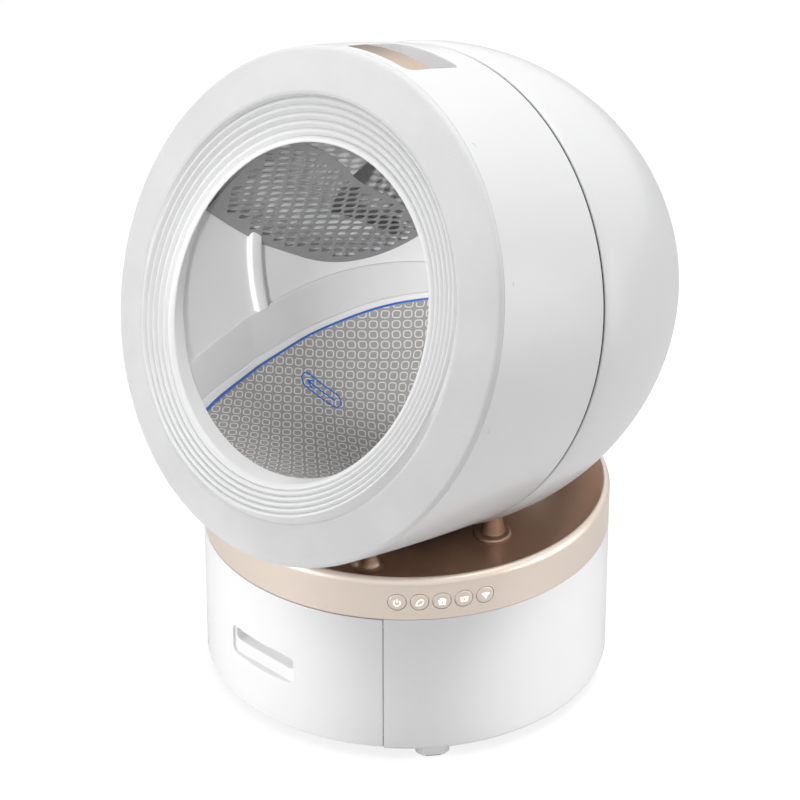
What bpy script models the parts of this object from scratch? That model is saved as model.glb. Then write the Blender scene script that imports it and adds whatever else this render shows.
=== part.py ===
"""Self cleaning litter box: a tilted globe with a turning drum, on a round base with a waste drawer.

Metres, +Z up. The origin is on the floor under the middle of the whole object, and the entrance looks
along -Y. The empty stand marks the centre of the round base, from which the sizes below are measured,
and every piece is its child. Angles round the base are counted from the front (-Y) towards +X. The
globe's pieces are children of the empty globe_axis and the drum's of drum_axis. Each of these has its
own Z forwards along its axis and its own Y up across it: there a place is (x, rise, reach).
"""

import math

import bmesh
import bpy
from mathutils import Matrix, Vector

# Fits and general sizes
GAP = 0.0003
OVERRUN = 0.02
POLE_MERGE = 0.00001
BIG_STEPS = 36
POST_STEPS = 16
SMALL_STEPS = 12
TINY_STEPS = 8
DOME_LEVELS = 8
DRUM_LEVELS = 4
BISECTIONS = 40
SMOOTH_ANGLE = math.radians(32)

# Round base
BASE_CENTER_Y = -0.031
BASE_RADIUS = 0.2205
BASE_DRAFT = 0.001
FOOT_HEIGHT = 0.013
SEAM_HEIGHT = 0.1745
BASE_WALL = 0.003
SKIRT_CHAMFER = 0.003
SKIRT_FLANGE = 0.013
FLOOR_PLATE = 0.005
DRAWER_HALF_ANGLE = 38.7
DRAWER_SIDE_GAP = 0.0012

# Feet
FOOT_ANGLES = (52.5, 127.5, 232.5, 307.5)
FOOT_WIDTH = 0.036
FOOT_DEPTH = 0.030
FOOT_CHAMFER = 0.007
FOOT_INSET = 0.002
PAD_HEIGHT = 0.0022
PAD_INSET = 0.003

# Deck with its dish
RIM_BAND = 0.048
RIM_WIDTH = 0.0073
RIM_SOFTNESS = 0.009
DISH_DROP = 0.0045
DISH_FLAT_MARGIN = 0.002
DISH_SHARES = (0.0, 0.6, 0.85, 1.0)
COLUMN_RADIUS = 0.006
COLUMN_SPACE = 0.0105
COLUMN_Y = 0.040

# Posts under the globe
SIDE_POST_X = 0.095
SIDE_POST_Y = 0.036
FRONT_POST_X = 0.045
FRONT_POST_Y = -0.103
FRONT_POST_RISE_SHARE = 1.3
POST_FOOT_RADIUS = 0.0135
POST_TOP_RADIUS = 0.0105
POST_FLANGE_RADIUS = 0.021
POST_FLANGE_HEIGHT = 0.0035
BELL_FOOT_RADIUS = 0.018
BELL_TOP_RADIUS = 0.0085
BUFFER_THICKNESS = 0.003

# Waste chute
CHUTE_HALF_X = 0.055
CHUTE_FRONT_Y = -0.024
CHUTE_BACK_Y = 0.070
CHUTE_WALL = 0.0025
CHUTE_DROP = 0.006
CHUTE_SEAL = 0.004
PORT_SIDE_RIM = 0.005
PORT_FRONT_RIM = 0.0042
PORT_BACK_RIM = 0.0108

# Buttons on the deck's side
BUTTON_NAMES = ("power", "clean", "empty", "level", "wireless")
BUTTON_FIRST_ANGLE = 42.35
BUTTON_SPACE = 0.00177
BUTTON_RISE = 0.0215
BUTTON_RADIUS = 0.0095
BUTTON_HOLE_GAP = 0.0004
BUTTON_CROWN = 0.0016
BUTTON_CROWN_SHARES = ((0.0, 1.0), (0.7, 0.6), (1.0, -0.2))
BUTTON_FLANGE = 0.0012
BUTTON_FLANGE_THICKNESS = 0.0008
BUTTON_STEM_RADIUS = 0.003
BUTTON_TRAVEL = 0.001
BOARD_INSET = 0.012
BOARD_THICKNESS = 0.002
BOARD_ABOVE = 0.0045
BOARD_BEFORE_ANGLE = 2.75
BOARD_AFTER_ANGLE = 4.07

# Waste drawer
DRAWER_PANEL = 0.0025
DRAWER_LIFT = 0.002
DRAWER_TOP_GAP = 0.001
PULL_HALF_WIDTH = 0.0465
PULL_HEIGHT = 0.034
PULL_DROP = 0.0695
PULL_DEPTH = 0.021
PULL_CORNER = 0.007
PULL_STEP = 0.008
PULL_WALL = 0.003
PULL_SHELF_SHARE = 0.55
TRAY_LIFT = 0.0065
TRAY_THICKNESS = 0.0025
TRAY_SIDE_SPACE = 0.0044
TRAY_LIP = 0.002
BIN_SIDE_SPACE = 0.0115
BIN_FRONT_SPACE = 0.0505
BIN_BACK_SPACE = 0.1105
BIN_TOP_SPACE = 0.028
BIN_WALL = 0.0025
BIN_CORNER = 0.014
BIN_TAPER = 0.004
BAG_FRAME_WIDTH = 0.012
BAG_LIP = 0.006
BAG_FRAME_THICKNESS = 0.0025
RUNNER_ROOM = 0.005
RUNNER_FRONT_SPACE = 0.0755
RUNNER_LIP = 0.006
RUNNER_WALL = 0.002
RUNNER_SLOT_GAP = 0.0004

# Electronics in the base
MAIN_BOARD_WIDTH = 0.110
MAIN_BOARD_DEPTH = 0.050
MAIN_BOARD_SPACE = 0.0485
MAIN_BOARD_HEIGHT = 0.030
MAIN_BOARD_THICKNESS = 0.0016
STANDOFF_RADIUS = 0.0035
STANDOFF_INSET = 0.006
RELAY_LOW_SHARES = (-0.8, 0.2)
RELAY_HIGH_SHARES = (-0.4, 0.7)
RELAY_RISE_SHARE = 0.3
SOCKET_LOW_SHARES = (0.1, 0.65)
SOCKET_HIGH_SHARES = (0.6, 0.9)
SOCKET_RISE_SHARE = 0.22
INLET_HEIGHT = 0.050
INLET_RADIUS = 0.0060
INLET_FLANGE = 0.0090
INLET_FLANGE_THICKNESS = 0.0015
INLET_DEPTH = 0.014
INLET_BORE = 0.0040
INLET_BORE_DEPTH = 0.010
INLET_PIN = 0.0011

# The two axes
GLOBE_TILT = 13.0
GLOBE_CENTER_Y = 0.0167
GLOBE_CLEARANCE = 0.0139
DRUM_LEAN = 11.0
DRUM_DROP_SHARE = 0.10567

# Rear dome
DOME_RADIUS = 0.2574
DOME_LENGTH = 0.2941
DOME_EQUATOR = 0.0106
DOME_POWER = 1.9
SHELL_WALL = 0.003
SEAM_GAP = 0.0025
SEAM_DRAW_IN = 0.0016
SEAM_EDGE_DROP = 0.003
SEAM_EDGE_LENGTH = 0.0035
GASKET_DROP = 0.0045
GASKET_DEPTH = 0.003

# Middle ring with the carrying grip
COVER_SWELL = 0.0086
COVER_SEAM_REACH = 0.1694
COVER_SEAM_RISE = -0.0026
COVER_SEAM_LEAN = 7.9
BARREL_BULGE = 0.0012
GRIP_HALF_WIDTH = 0.046
GRIP_LENGTH = 0.077
GRIP_SETBACK = 0.0474
GRIP_DEPTH = 0.0324
GRIP_CORNER = 0.010
GRIP_STRIP_WIDTH = 0.034
GRIP_STRIP_DROP = 0.0119
GRIP_STRIP_THICKNESS = 0.003

# Front cover and entrance ring
COVER_BAND = 0.0455
COVER_DEPTH = 0.0166
STEP_RISE = -0.0030
STEP_LEAN = 8.7
STEP_DEPTH = 0.006
STEP_BAND = 0.0074
RIDGE_RISE = 0.0005
RIDGE_LEAN = 13.0
RIDGE_COUNT = 5
RIDGE_WAVE = 0.0011
RIPPLE_BAND = 0.0311
RIPPLE_DEPTH = 0.0071
LIP_RISE = -0.0077
LIP_LEAN = 12.3
LIP_BAND = 0.0070
LIP_DEPTH = 0.0007
ENTRANCE_RISE = -0.0081
ENTRANCE_LEAN = 11.3
THROAT_FLARE = 0.0076
THROAT_GAP = 0.002
RING_WALL = 0.0025
RING_DEPTH = 0.0065
RING_FLANGE = 0.007
COVER_LIP = 0.006
COVER_EDGE_SHARES = ((-0.17, 1.2), (-1.0, 1.9))
LIP_ROUND_SHARES = ((0.35, 1.0), (0.8, 0.5))

# Drum
DRUM_SPACE = 0.0584
DRUM_WALL = 0.0035
MOUTH_TAPER = 0.0085
MOUTH_SETBACK = 0.0094
DRUM_CONE = 0.044
DRUM_SHOULDER = 0.020
DRIVE_SPACE = 0.1041
DRUM_POWER = 2.4
DRUM_BEAD = 0.0025
PORT_ANGLE = -62.0
PORT_HALF_WIDTH = 0.042
PORT_FRONT_SHARE = 0.079
PORT_BACK_SHARE = 0.605
RIB_FRONT_Y = -0.0525
RIB_WIDTH = 0.019
RIB_DEPTH = 0.006
RIB_HEIGHT = 0.066

# Litter mat, its frame and the bank round it
MAT_DROP_SHARE = 0.4513
MAT_THICKNESS = 0.0025
MAT_FRAME_HEIGHT = 0.007
MAT_FRAME_THICKNESS = 0.004
BANK_RISE_SHARE = 0.2261
BANK_THICKNESS = 0.003

# Sieve
SIEVE_EDGE_SHARES = (-0.6005, 0.5477, 0.0503)
SIEVE_NORMAL = (-0.817, 0.572, -0.072)
SIEVE_EDGE_WAY = (-0.101, -0.266, -0.959)
SIEVE_ROW_TURN = math.radians(-30)
SIEVE_THICKNESS = 0.003
SIEVE_FRONT_GAP = 0.002
SIEVE_NOSE_REACH = 0.009
SIEVE_NOSE_DROP = 0.0039
SIEVE_LENGTH_SHARE = 2.2
SIEVE_WIDTH_SHARE = 1.1
SIEVE_MARGIN = 0.006
SIEVE_SLOT_LENGTH = 0.024
SIEVE_SLOT_WIDTH = 0.008
SIEVE_SLOT_PITCH = 0.032
SIEVE_ROW_PITCH = 0.0165

# Drive at the back of the drum
GEAR_RADIUS_SHARE = 0.45226
GEAR_TEETH = 60
PINION_TEETH = 15
GEAR_WIDTH = 0.010
GEAR_BACKLASH = 0.0010
TOOTH_SLOPE = math.radians(20)
TOOTH_TIP_SHARE = 0.9
TOOTH_ROOT_SHARE = 1.25
GEAR_RIM = 0.010
GEAR_HUB_RADIUS = 0.022
GEAR_SPOKES = 6
GEAR_SPOKE_WIDTH = 0.012
HUB_RADIUS = 0.010
HUB_LENGTH = 0.029
BEARING_RADIUS = 0.0155
BEARING_LENGTH = 0.011
BEARING_SEAT_WALL = 0.0035
BRACKET_GAP = 0.005
BRACKET_THICKNESS = 0.004
BRACKET_ARM_HALF = 0.013
BRACKET_ARM_END = 0.008
BRACKET_HUB = 0.030
ARM_CLEARANCE = 0.0096
BOSS_RADIUS = 0.006
PINION_SHAFT = 0.004
PINION_SHAFT_LENGTH = 0.0085
GEARBOX_HALF_WIDTH = 0.020
GEARBOX_DEPTH = 0.020
GEARBOX_CORNER = 0.004
MOTOR_RADIUS = 0.0130
MOTOR_LENGTH = 0.052
MOTOR_NECK_SHARE = 0.4

# Rollers under the drum
ROLLER_ANGLES = {"left": -145.0, "right": 145.0}
ROLLER_RADIUS = 0.0125
ROLLER_WIDTH = 0.014
ROLLER_REACH = 0.020
ROLLER_EDGE = 0.0008
AXLE_RADIUS = 0.003
AXLE_PLAY = 0.0003
CHEEK_THICKNESS = 0.0025
CHEEK_HALF_WIDTH = 0.0075
CHEEK_GAP = 0.0008
BRACKET_BASE = 0.003
BRACKET_BASE_HALF = 0.015
CHEEK_CLEARANCE = 0.0045
BRACKET_STAND = 0.032

# Worked out from the sizes above
FLOOR_TOP = FOOT_HEIGHT + FLOOR_PLATE
RIM_HEIGHT = SEAM_HEIGHT + RIM_BAND
RIM_RADIUS = BASE_RADIUS - RIM_WIDTH
DISH_HEIGHT = SEAM_HEIGHT - DISH_DROP
BUTTON_HEIGHT = SEAM_HEIGHT + BUTTON_RISE
BUTTON_PITCH = (BUTTON_RADIUS + BUTTON_FLANGE) * 2 + BUTTON_SPACE
BUTTON_STEP_ANGLE = math.degrees(BUTTON_PITCH / BASE_RADIUS)
BUTTON_LAST_ANGLE = BUTTON_FIRST_ANGLE + BUTTON_STEP_ANGLE * (len(BUTTON_NAMES) - 1)
BOARD_RADIUS = BASE_RADIUS - BOARD_INSET
BOARD_TOP = BUTTON_HEIGHT + BOARD_ABOVE
BOARD_FIRST_ANGLE = BUTTON_FIRST_ANGLE - BOARD_BEFORE_ANGLE
BOARD_LAST_ANGLE = BUTTON_LAST_ANGLE + BOARD_AFTER_ANGLE
DRAWER_BOTTOM = FOOT_HEIGHT + DRAWER_LIFT
PULL_HIGH = SEAM_HEIGHT - PULL_DROP
PULL_LOW = PULL_HIGH - PULL_HEIGHT
TRAY_LOW = FLOOR_TOP + TRAY_LIFT
TRAY_HALF_WIDTH = BASE_RADIUS * math.sin(math.radians(DRAWER_HALF_ANGLE)) - TRAY_SIDE_SPACE
BIN_HALF_WIDTH = TRAY_HALF_WIDTH - BIN_SIDE_SPACE
BIN_FRONT = BIN_FRONT_SPACE - BASE_RADIUS
BIN_BACK = BASE_RADIUS - BIN_BACK_SPACE
BIN_HEIGHT = SEAM_HEIGHT - TRAY_LOW - BIN_TOP_SPACE
TRAY_BACK = BIN_BACK + TRAY_LIP
RUNNER_OUTER_X = TRAY_HALF_WIDTH + RUNNER_ROOM
RUNNER_FRONT = RUNNER_FRONT_SPACE - BASE_RADIUS
COLUMN_X = RUNNER_OUTER_X + COLUMN_SPACE
MAIN_BOARD_BACK = BASE_RADIUS - MAIN_BOARD_SPACE
MAIN_BOARD_FRONT = MAIN_BOARD_BACK - MAIN_BOARD_DEPTH
SKIRT_TOP = SEAM_HEIGHT - GAP
SKIRT_BOTTOM_RADIUS = BASE_RADIUS + BASE_DRAFT
FLOOR_RADIUS = BASE_RADIUS - BASE_WALL - GAP
DECK_UNDER = DISH_HEIGHT - BASE_WALL
SIDE_POST_REACH = math.hypot(SIDE_POST_X, SIDE_POST_Y) + POST_FLANGE_RADIUS
FRONT_POST_REACH = math.hypot(FRONT_POST_X, FRONT_POST_Y) + BELL_FOOT_RADIUS
DISH_FLAT_RADIUS = max(SIDE_POST_REACH, FRONT_POST_REACH) + DISH_FLAT_MARGIN
FACET_SHARE = 1 - math.cos(math.pi / BIG_STEPS)
TILT = math.radians(GLOBE_TILT)
GLOBE_CENTER_Z = DISH_HEIGHT + GLOBE_CLEARANCE + DOME_RADIUS
SEAM_RADIUS = DOME_RADIUS - SEAM_DRAW_IN
COVER_SEAM_RADIUS = SEAM_RADIUS + COVER_SWELL
PORT_SHIFT = DOME_RADIUS * math.sin(TILT) - GLOBE_CENTER_Y
GLOBE_PORT_HALF_X = CHUTE_HALF_X - PORT_SIDE_RIM
GLOBE_PORT_FRONT = -(CHUTE_FRONT_Y + PORT_FRONT_RIM + PORT_SHIFT) / math.cos(TILT)
GLOBE_PORT_BACK = -(CHUTE_BACK_Y - PORT_BACK_RIM + PORT_SHIFT) / math.cos(TILT)
GRIP_FRONT = COVER_SEAM_REACH - GRIP_SETBACK
GRIP_BACK = GRIP_FRONT - GRIP_LENGTH
GRIP_FLOOR = COVER_SEAM_RADIUS - GRIP_DEPTH
GRIP_STRIP_RADIUS = COVER_SEAM_RADIUS - GRIP_STRIP_DROP
STEP_RADIUS = COVER_SEAM_RADIUS - COVER_BAND
STEP_REACH = COVER_SEAM_REACH + COVER_DEPTH
RIDGE_RADIUS = STEP_RADIUS - STEP_BAND
RIDGE_REACH = STEP_REACH
LIP_RADIUS = RIDGE_RADIUS - RIPPLE_BAND
LIP_REACH = RIDGE_REACH - RIPPLE_DEPTH
ENTRANCE_RADIUS = LIP_RADIUS - LIP_BAND
ENTRANCE_REACH = LIP_REACH - LIP_DEPTH
THROAT_RADIUS = ENTRANCE_RADIUS + THROAT_FLARE
DRUM_DROP = DOME_RADIUS * DRUM_DROP_SHARE
DRUM_RADIUS = DOME_RADIUS - DRUM_SPACE
DRUM_MOUTH_RADIUS = DRUM_RADIUS - MOUTH_TAPER
DRUM_MOUTH = COVER_SEAM_REACH - MOUTH_SETBACK
DRUM_TAIL = DOME_LENGTH - DRIVE_SPACE
PORT_FRONT = -DRUM_SHOULDER - DRUM_TAIL * PORT_FRONT_SHARE
PORT_BACK = -DRUM_SHOULDER - DRUM_TAIL * PORT_BACK_SHARE
MAT_LEVEL = GLOBE_CENTER_Z - DRUM_DROP * math.cos(TILT) - DRUM_RADIUS * MAT_DROP_SHARE
BANK_LEVEL = MAT_LEVEL + DRUM_RADIUS * BANK_RISE_SHARE
RIB_TOP = BANK_LEVEL + RIB_HEIGHT
SIEVE_NOSE_RADIUS = ENTRANCE_RADIUS - SIEVE_NOSE_DROP
SIEVE_LENGTH = DRUM_RADIUS * SIEVE_LENGTH_SHARE
SIEVE_WIDTH = DRUM_RADIUS * SIEVE_WIDTH_SHARE
GEAR_MODULE = DRUM_RADIUS * GEAR_RADIUS_SHARE * 2 / GEAR_TEETH
BRACKET_INNER = DRUM_RADIUS + CHEEK_CLEARANCE
BRACKET_BASE_INNER = DRUM_RADIUS + BRACKET_STAND
PITCH_RADIUS = GEAR_MODULE * GEAR_TEETH / 2
PINION_PITCH = GEAR_MODULE * PINION_TEETH / 2
GEAR_CENTERS = PITCH_RADIUS + PINION_PITCH
DRUM_BACK = -(DRUM_SHOULDER + DRUM_TAIL)
GEAR_FRONT = DRUM_BACK - GAP
GEAR_BACK = GEAR_FRONT - GEAR_WIDTH
BRACKET_FRONT = GEAR_BACK - BRACKET_GAP
BRACKET_BACK = BRACKET_FRONT - BRACKET_THICKNESS
THROAT_REACH = DRUM_MOUTH + THROAT_GAP
ROLLER_CIRCLE = DRUM_RADIUS + GAP + ROLLER_RADIUS

COLORS = {
    "white_gloss": ((0.86, 0.86, 0.86), 0.25, 0.0),
    "white_matte": ((0.80, 0.80, 0.81), 0.55, 0.0),
    "champagne": ((0.62, 0.48, 0.38), 0.35, 0.9),
    "light_grey": ((0.70, 0.70, 0.71), 0.45, 0.0),
    "middle_grey": ((0.50, 0.50, 0.51), 0.5, 0.0),
    "sieve_grey": ((0.36, 0.36, 0.37), 0.45, 0.0),
    "mat_grey": ((0.40, 0.39, 0.38), 0.7, 0.0),
    "dark_grey": ((0.06, 0.06, 0.065), 0.5, 0.0),
    "rubber_black": ((0.02, 0.02, 0.02), 0.8, 0.0),
    "steel": ((0.55, 0.55, 0.56), 0.3, 1.0),
    "gear_nylon": ((0.75, 0.74, 0.70), 0.5, 0.0),
    "bronze": ((0.45, 0.30, 0.15), 0.4, 1.0),
    "circuit_green": ((0.03, 0.16, 0.07), 0.4, 0.0),
}


def clear_scene():
    for obj in list(bpy.data.objects):
        bpy.data.objects.remove(obj, do_unlink=True)
    for collection in list(bpy.data.collections):
        bpy.data.collections.remove(collection)


def make_collection(name):
    collection = bpy.data.collections.new(name)
    bpy.context.scene.collection.children.link(collection)
    return collection


def make_materials():
    """One Principled material for each finish."""
    made = {}
    for name, (color, roughness, metallic) in COLORS.items():
        material = bpy.data.materials.new(name)
        material.use_nodes = True
        shader = material.node_tree.nodes["Principled BSDF"]
        shader.inputs["Base Color"].default_value = (*color, 1.0)
        shader.inputs["Roughness"].default_value = roughness
        shader.inputs["Metallic"].default_value = metallic
        material.diffuse_color = (*color, 1.0)
        made[name] = material
    return made


clear_scene()
PARTS = make_collection("self_cleaning_litter_box")
CUTTERS = make_collection("cutters")
MATERIALS = make_materials()


def place(name, mesh, finish=None, parent=None, matrix=None):
    """Puts a mesh in the scene: a part when it has a finish, otherwise a cutter."""
    obj = bpy.data.objects.new(name, mesh)
    if finish:
        PARTS.objects.link(obj)
        mesh.materials.append(MATERIALS[finish])
        for polygon in mesh.polygons:
            polygon.use_smooth = True
    else:
        CUTTERS.objects.link(obj)
        obj.hide_render = True
        obj.display_type = "WIRE"
    obj.parent = parent or STAND
    if matrix:
        obj.matrix_local = matrix
    return obj


def mesh_of(bm, name):
    bmesh.ops.recalc_face_normals(bm, faces=bm.faces)
    mesh = bpy.data.meshes.new(name)
    bm.to_mesh(mesh)
    bm.free()
    mesh.set_sharp_from_angle(angle=SMOOTH_ANGLE)
    return mesh


def cut(obj, cutter, operation="DIFFERENCE"):
    modifier = obj.modifiers.new(operation.lower(), "BOOLEAN")
    modifier.operation = operation
    modifier.solver = "EXACT"
    modifier.object = cutter
    return obj


def turned(name, profile, finish=None, parent=None, steps=BIG_STEPS, closed=True, matrix=None):
    """A profile of (radius, height) points turned round Z. It runs down its outer side."""
    bm = bmesh.new()
    verts = [bm.verts.new((radius, 0, height)) for radius, height in profile]
    ends = len(verts) if closed else len(verts) - 1
    for index in range(ends):
        bm.edges.new((verts[index], verts[(index + 1) % len(verts)]))
    mesh = bpy.data.meshes.new(name)
    bm.to_mesh(mesh)
    bm.free()
    obj = place(name, mesh, finish, parent, matrix)
    screw = obj.modifiers.new("turn", "SCREW")
    screw.axis = "Z"
    screw.angle = math.tau
    screw.steps = steps
    screw.render_steps = steps
    screw.use_merge_vertices = True
    screw.merge_threshold = POLE_MERGE
    screw.use_smooth_shade = True
    return obj


def outline_mesh(name, loops, low, high):
    """Flat outlines, the first one outside and the rest holes, filled and raised from low to high."""
    curve = bpy.data.curves.new(name, "CURVE")
    curve.dimensions = "2D"
    curve.fill_mode = "BOTH"
    curve.extrude = (high - low) / 2
    for loop in loops:
        spline = curve.splines.new("POLY")
        spline.points.add(len(loop) - 1)
        for point, (x, y) in zip(spline.points, loop):
            point.co = (x, y, 0, 1)
        spline.use_cyclic_u = True
    helper = bpy.data.objects.new(name, curve)
    CUTTERS.objects.link(helper)
    graph = bpy.context.evaluated_depsgraph_get()
    solid = bpy.data.meshes.new_from_object(helper.evaluated_get(graph))
    bpy.data.objects.remove(helper, do_unlink=True)
    bpy.data.curves.remove(curve)
    bm = bmesh.new()
    bm.from_mesh(solid)
    bpy.data.meshes.remove(solid)
    bmesh.ops.remove_doubles(bm, verts=bm.verts, dist=POLE_MERGE)
    bmesh.ops.translate(bm, verts=bm.verts, vec=(0, 0, (low + high) / 2))
    return mesh_of(bm, name)


def extruded(name, loops, low, high, finish=None, parent=None, matrix=None):
    return place(name, outline_mesh(name, loops, low, high), finish, parent, matrix)


def block(name, low, high, finish=None, parent=None, matrix=None, edge=0):
    """A box between two corners, with rounded edges where edge is given."""
    bm = bmesh.new()
    bmesh.ops.create_cube(bm, size=1)
    size = [b - a for a, b in zip(low, high)]
    center = [(a + b) / 2 for a, b in zip(low, high)]
    bmesh.ops.scale(bm, verts=bm.verts, vec=size)
    bmesh.ops.translate(bm, verts=bm.verts, vec=center)
    obj = place(name, mesh_of(bm, name), finish, parent, matrix)
    if edge:
        bevel = obj.modifiers.new("edge", "BEVEL")
        bevel.width = edge
        bevel.segments = 2
    return obj


def rod(name, radius, low, high, finish=None, parent=None, matrix=None, top=None, steps=SMALL_STEPS):
    """A cylinder or cone along Z."""
    bm = bmesh.new()
    add_rod(bm, radius, radius if top is None else top, low, high, (0, 0), steps)
    return place(name, mesh_of(bm, name), finish, parent, matrix)


def add_rod(bm, radius, top, low, high, at, steps):
    middle = Matrix.Translation((at[0], at[1], (low + high) / 2))
    bmesh.ops.create_cone(
        bm, cap_ends=True, segments=steps, radius1=radius, radius2=top, depth=high - low, matrix=middle
    )


def rods(name, radius, low, high, places, parent=None, steps=SMALL_STEPS):
    """Several equal cylinders along Z in one helper, for a union or a cut."""
    bm = bmesh.new()
    for at in places:
        add_rod(bm, radius, radius, low, high, at, steps)
    return place(name, mesh_of(bm, name), None, parent)


def arc(radius, first, last, steps):
    """Points of an arc, with its angles counted from the front towards +X."""
    points = []
    for index in range(steps + 1):
        angle = math.radians(first + (last - first) * index / steps)
        points.append((radius * math.sin(angle), -radius * math.cos(angle)))
    return points


def band_outline(inner, outer, first, last, steps):
    return arc(outer, first, last, steps) + arc(inner, last, first, steps)


def rounded(half_x, low_y, high_y, radius, steps=2):
    """A rectangle with round corners, centred on x = 0."""
    points = []
    corners = ((1, 1, 0), (-1, 1, 90), (-1, -1, 180), (1, -1, 270))
    for side, end, start in corners:
        center_x = side * (half_x - radius)
        center_y = high_y - radius if end > 0 else low_y + radius
        for index in range(steps + 1):
            angle = math.radians(start + 90 * index / steps)
            points.append((center_x + radius * math.cos(angle), center_y + radius * math.sin(angle)))
    return points


def section(radius, reach, rise=0.0, lean=0.0):
    """A circle across the drum's axis, leaning back by lean degrees."""
    return (radius, reach, rise, lean)


def between(first, second, share):
    return tuple(a + (b - a) * share for a, b in zip(first, second))


def loft(name, sections, finish=None, parent=None, steps=BIG_STEPS, capped=False):
    """Skins leaning circles one after another, as a closed ring or as a solid with flat ends."""
    bm = bmesh.new()
    rings = []
    for radius, reach, rise, lean in sections:
        ring = []
        slope = math.radians(lean)
        for index in range(steps):
            angle = math.tau * index / steps
            up = radius * math.cos(angle)
            place_at = (radius * math.sin(angle), rise + up * math.cos(slope), reach - up * math.sin(slope))
            ring.append(bm.verts.new(place_at))
        rings.append(ring)
    pairs = list(zip(rings, rings[1:]))
    if capped:
        bm.faces.new(rings[0])
        bm.faces.new(rings[-1])
    else:
        pairs.append((rings[-1], rings[0]))
    for first, second in pairs:
        for index in range(steps):
            after = (index + 1) % steps
            bm.faces.new((first[index], first[after], second[after], second[index]))
    return place(name, mesh_of(bm, name), finish, parent)


def dome_curve(radius, length, count):
    """(radius, reach) from the dome's widest place back to its pole."""
    points = []
    for index in range(count + 1):
        angle = math.pi / 2 * index / count
        share = abs(math.cos(angle)) ** (2 / DOME_POWER) if index < count else 0.0
        points.append((radius * share, -DOME_EQUATOR - length * math.sin(angle) ** (2 / DOME_POWER)))
    return points


def drum_curve(inset, front=None):
    """(radius, reach) of the drum's skin drawn in by inset, from its mouth back to its pole."""
    radius = DRUM_RADIUS - inset
    mouth = DRUM_MOUTH if front is None else front
    narrow = (DRUM_RADIUS - DRUM_MOUTH_RADIUS) * (mouth - DRUM_CONE) / (DRUM_MOUTH - DRUM_CONE)
    points = [(radius - narrow, mouth), (radius, DRUM_CONE)]
    for index in range(DRUM_LEVELS + 1):
        angle = math.pi / 2 * index / DRUM_LEVELS
        share = abs(math.cos(angle)) ** (2 / DRUM_POWER) if index < DRUM_LEVELS else 0.0
        depth = (DRUM_TAIL - inset) * math.sin(angle) ** (2 / DRUM_POWER)
        points.append((radius * share, -DRUM_SHOULDER - depth))
    return points


def make_empty(name, parent, matrix):
    empty = bpy.data.objects.new(name, None)
    PARTS.objects.link(empty)
    empty.parent = parent
    empty.matrix_local = matrix
    return empty


def make_axis(name, tilt, center):
    turn = Matrix.Rotation(math.radians(90 - tilt), 4, "X")
    return make_empty(name, STAND, Matrix.Translation(center) @ turn)


def drum_center():
    return (0, GLOBE_CENTER_Y - DRUM_DROP * math.sin(TILT), GLOBE_CENTER_Z - DRUM_DROP * math.cos(TILT))


def dome_room(reach):
    """The radius of the dome's inner wall at a place behind its widest one."""
    depth = (-reach - DOME_EQUATOR) / (DOME_LENGTH - SHELL_WALL)
    return (DOME_RADIUS - SHELL_WALL) * (1 - depth ** DOME_POWER) ** (1 / DOME_POWER)


def arm_length():
    """The bracket's diagonal arms: the lower two end this clearance before the dome's wall."""
    lean = math.radians(DRUM_LEAN)
    low, high = 0, DRUM_RADIUS
    for _ in range(BISECTIONS):
        length = (low + high) / 2
        side = length * math.sin(math.radians(45))
        rise = BRACKET_BACK * math.sin(lean) - side * math.cos(lean) - DRUM_DROP
        reach = BRACKET_BACK * math.cos(lean) + side * math.sin(lean)
        if math.hypot(side, rise) < dome_room(reach):
            low = length
        else:
            high = length
    return low - ARM_CLEARANCE


STAND = make_empty("stand", None, Matrix.Translation((0, BASE_CENTER_Y, 0)))
GLOBE = make_axis("globe_axis", GLOBE_TILT, (0, GLOBE_CENTER_Y, GLOBE_CENTER_Z))
DRUM = make_axis("drum_axis", GLOBE_TILT + DRUM_LEAN, drum_center())
PLAN = Matrix.Rotation(math.radians(-90), 4, "X")
ELEVATION = Matrix.Rotation(math.radians(90), 4, "X")


def spin(angle):
    """Turns a piece that is made at the top of the drum to this angle round its axis."""
    return Matrix.Rotation(-math.radians(angle), 4, "Z")


def globe_block(name, offset):
    """The dome's outer form as a solid, grown by offset."""
    curve = dome_curve(DOME_RADIUS + offset, DOME_LENGTH + offset, DOME_LEVELS)
    profile = [(0, OVERRUN / 2), (SEAM_RADIUS + offset, OVERRUN / 2)] + curve
    return turned(name, profile, None, GLOBE, BIG_STEPS, closed=False)


def ring_sections(inset):
    """The middle ring's skin from the dome to the cover, drawn in by inset."""
    back = section(SEAM_RADIUS - inset, SEAM_GAP / 2 + SEAM_EDGE_LENGTH)
    front = section(COVER_SEAM_RADIUS - inset, COVER_SEAM_REACH, COVER_SEAM_RISE, COVER_SEAM_LEAN)
    middle = between(back, front, 0.5)
    middle = (middle[0] + BARREL_BULGE, *middle[1:])
    return [back, middle, front]


def ring_block(name, inset):
    """The space inside the middle ring's skin, or its outer form where inset is negative."""
    sections = ring_sections(inset)
    back = section(SEAM_RADIUS - inset, -OVERRUN)
    return loft(name, [back] + sections, None, GLOBE, BIG_STEPS, capped=True)


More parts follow.
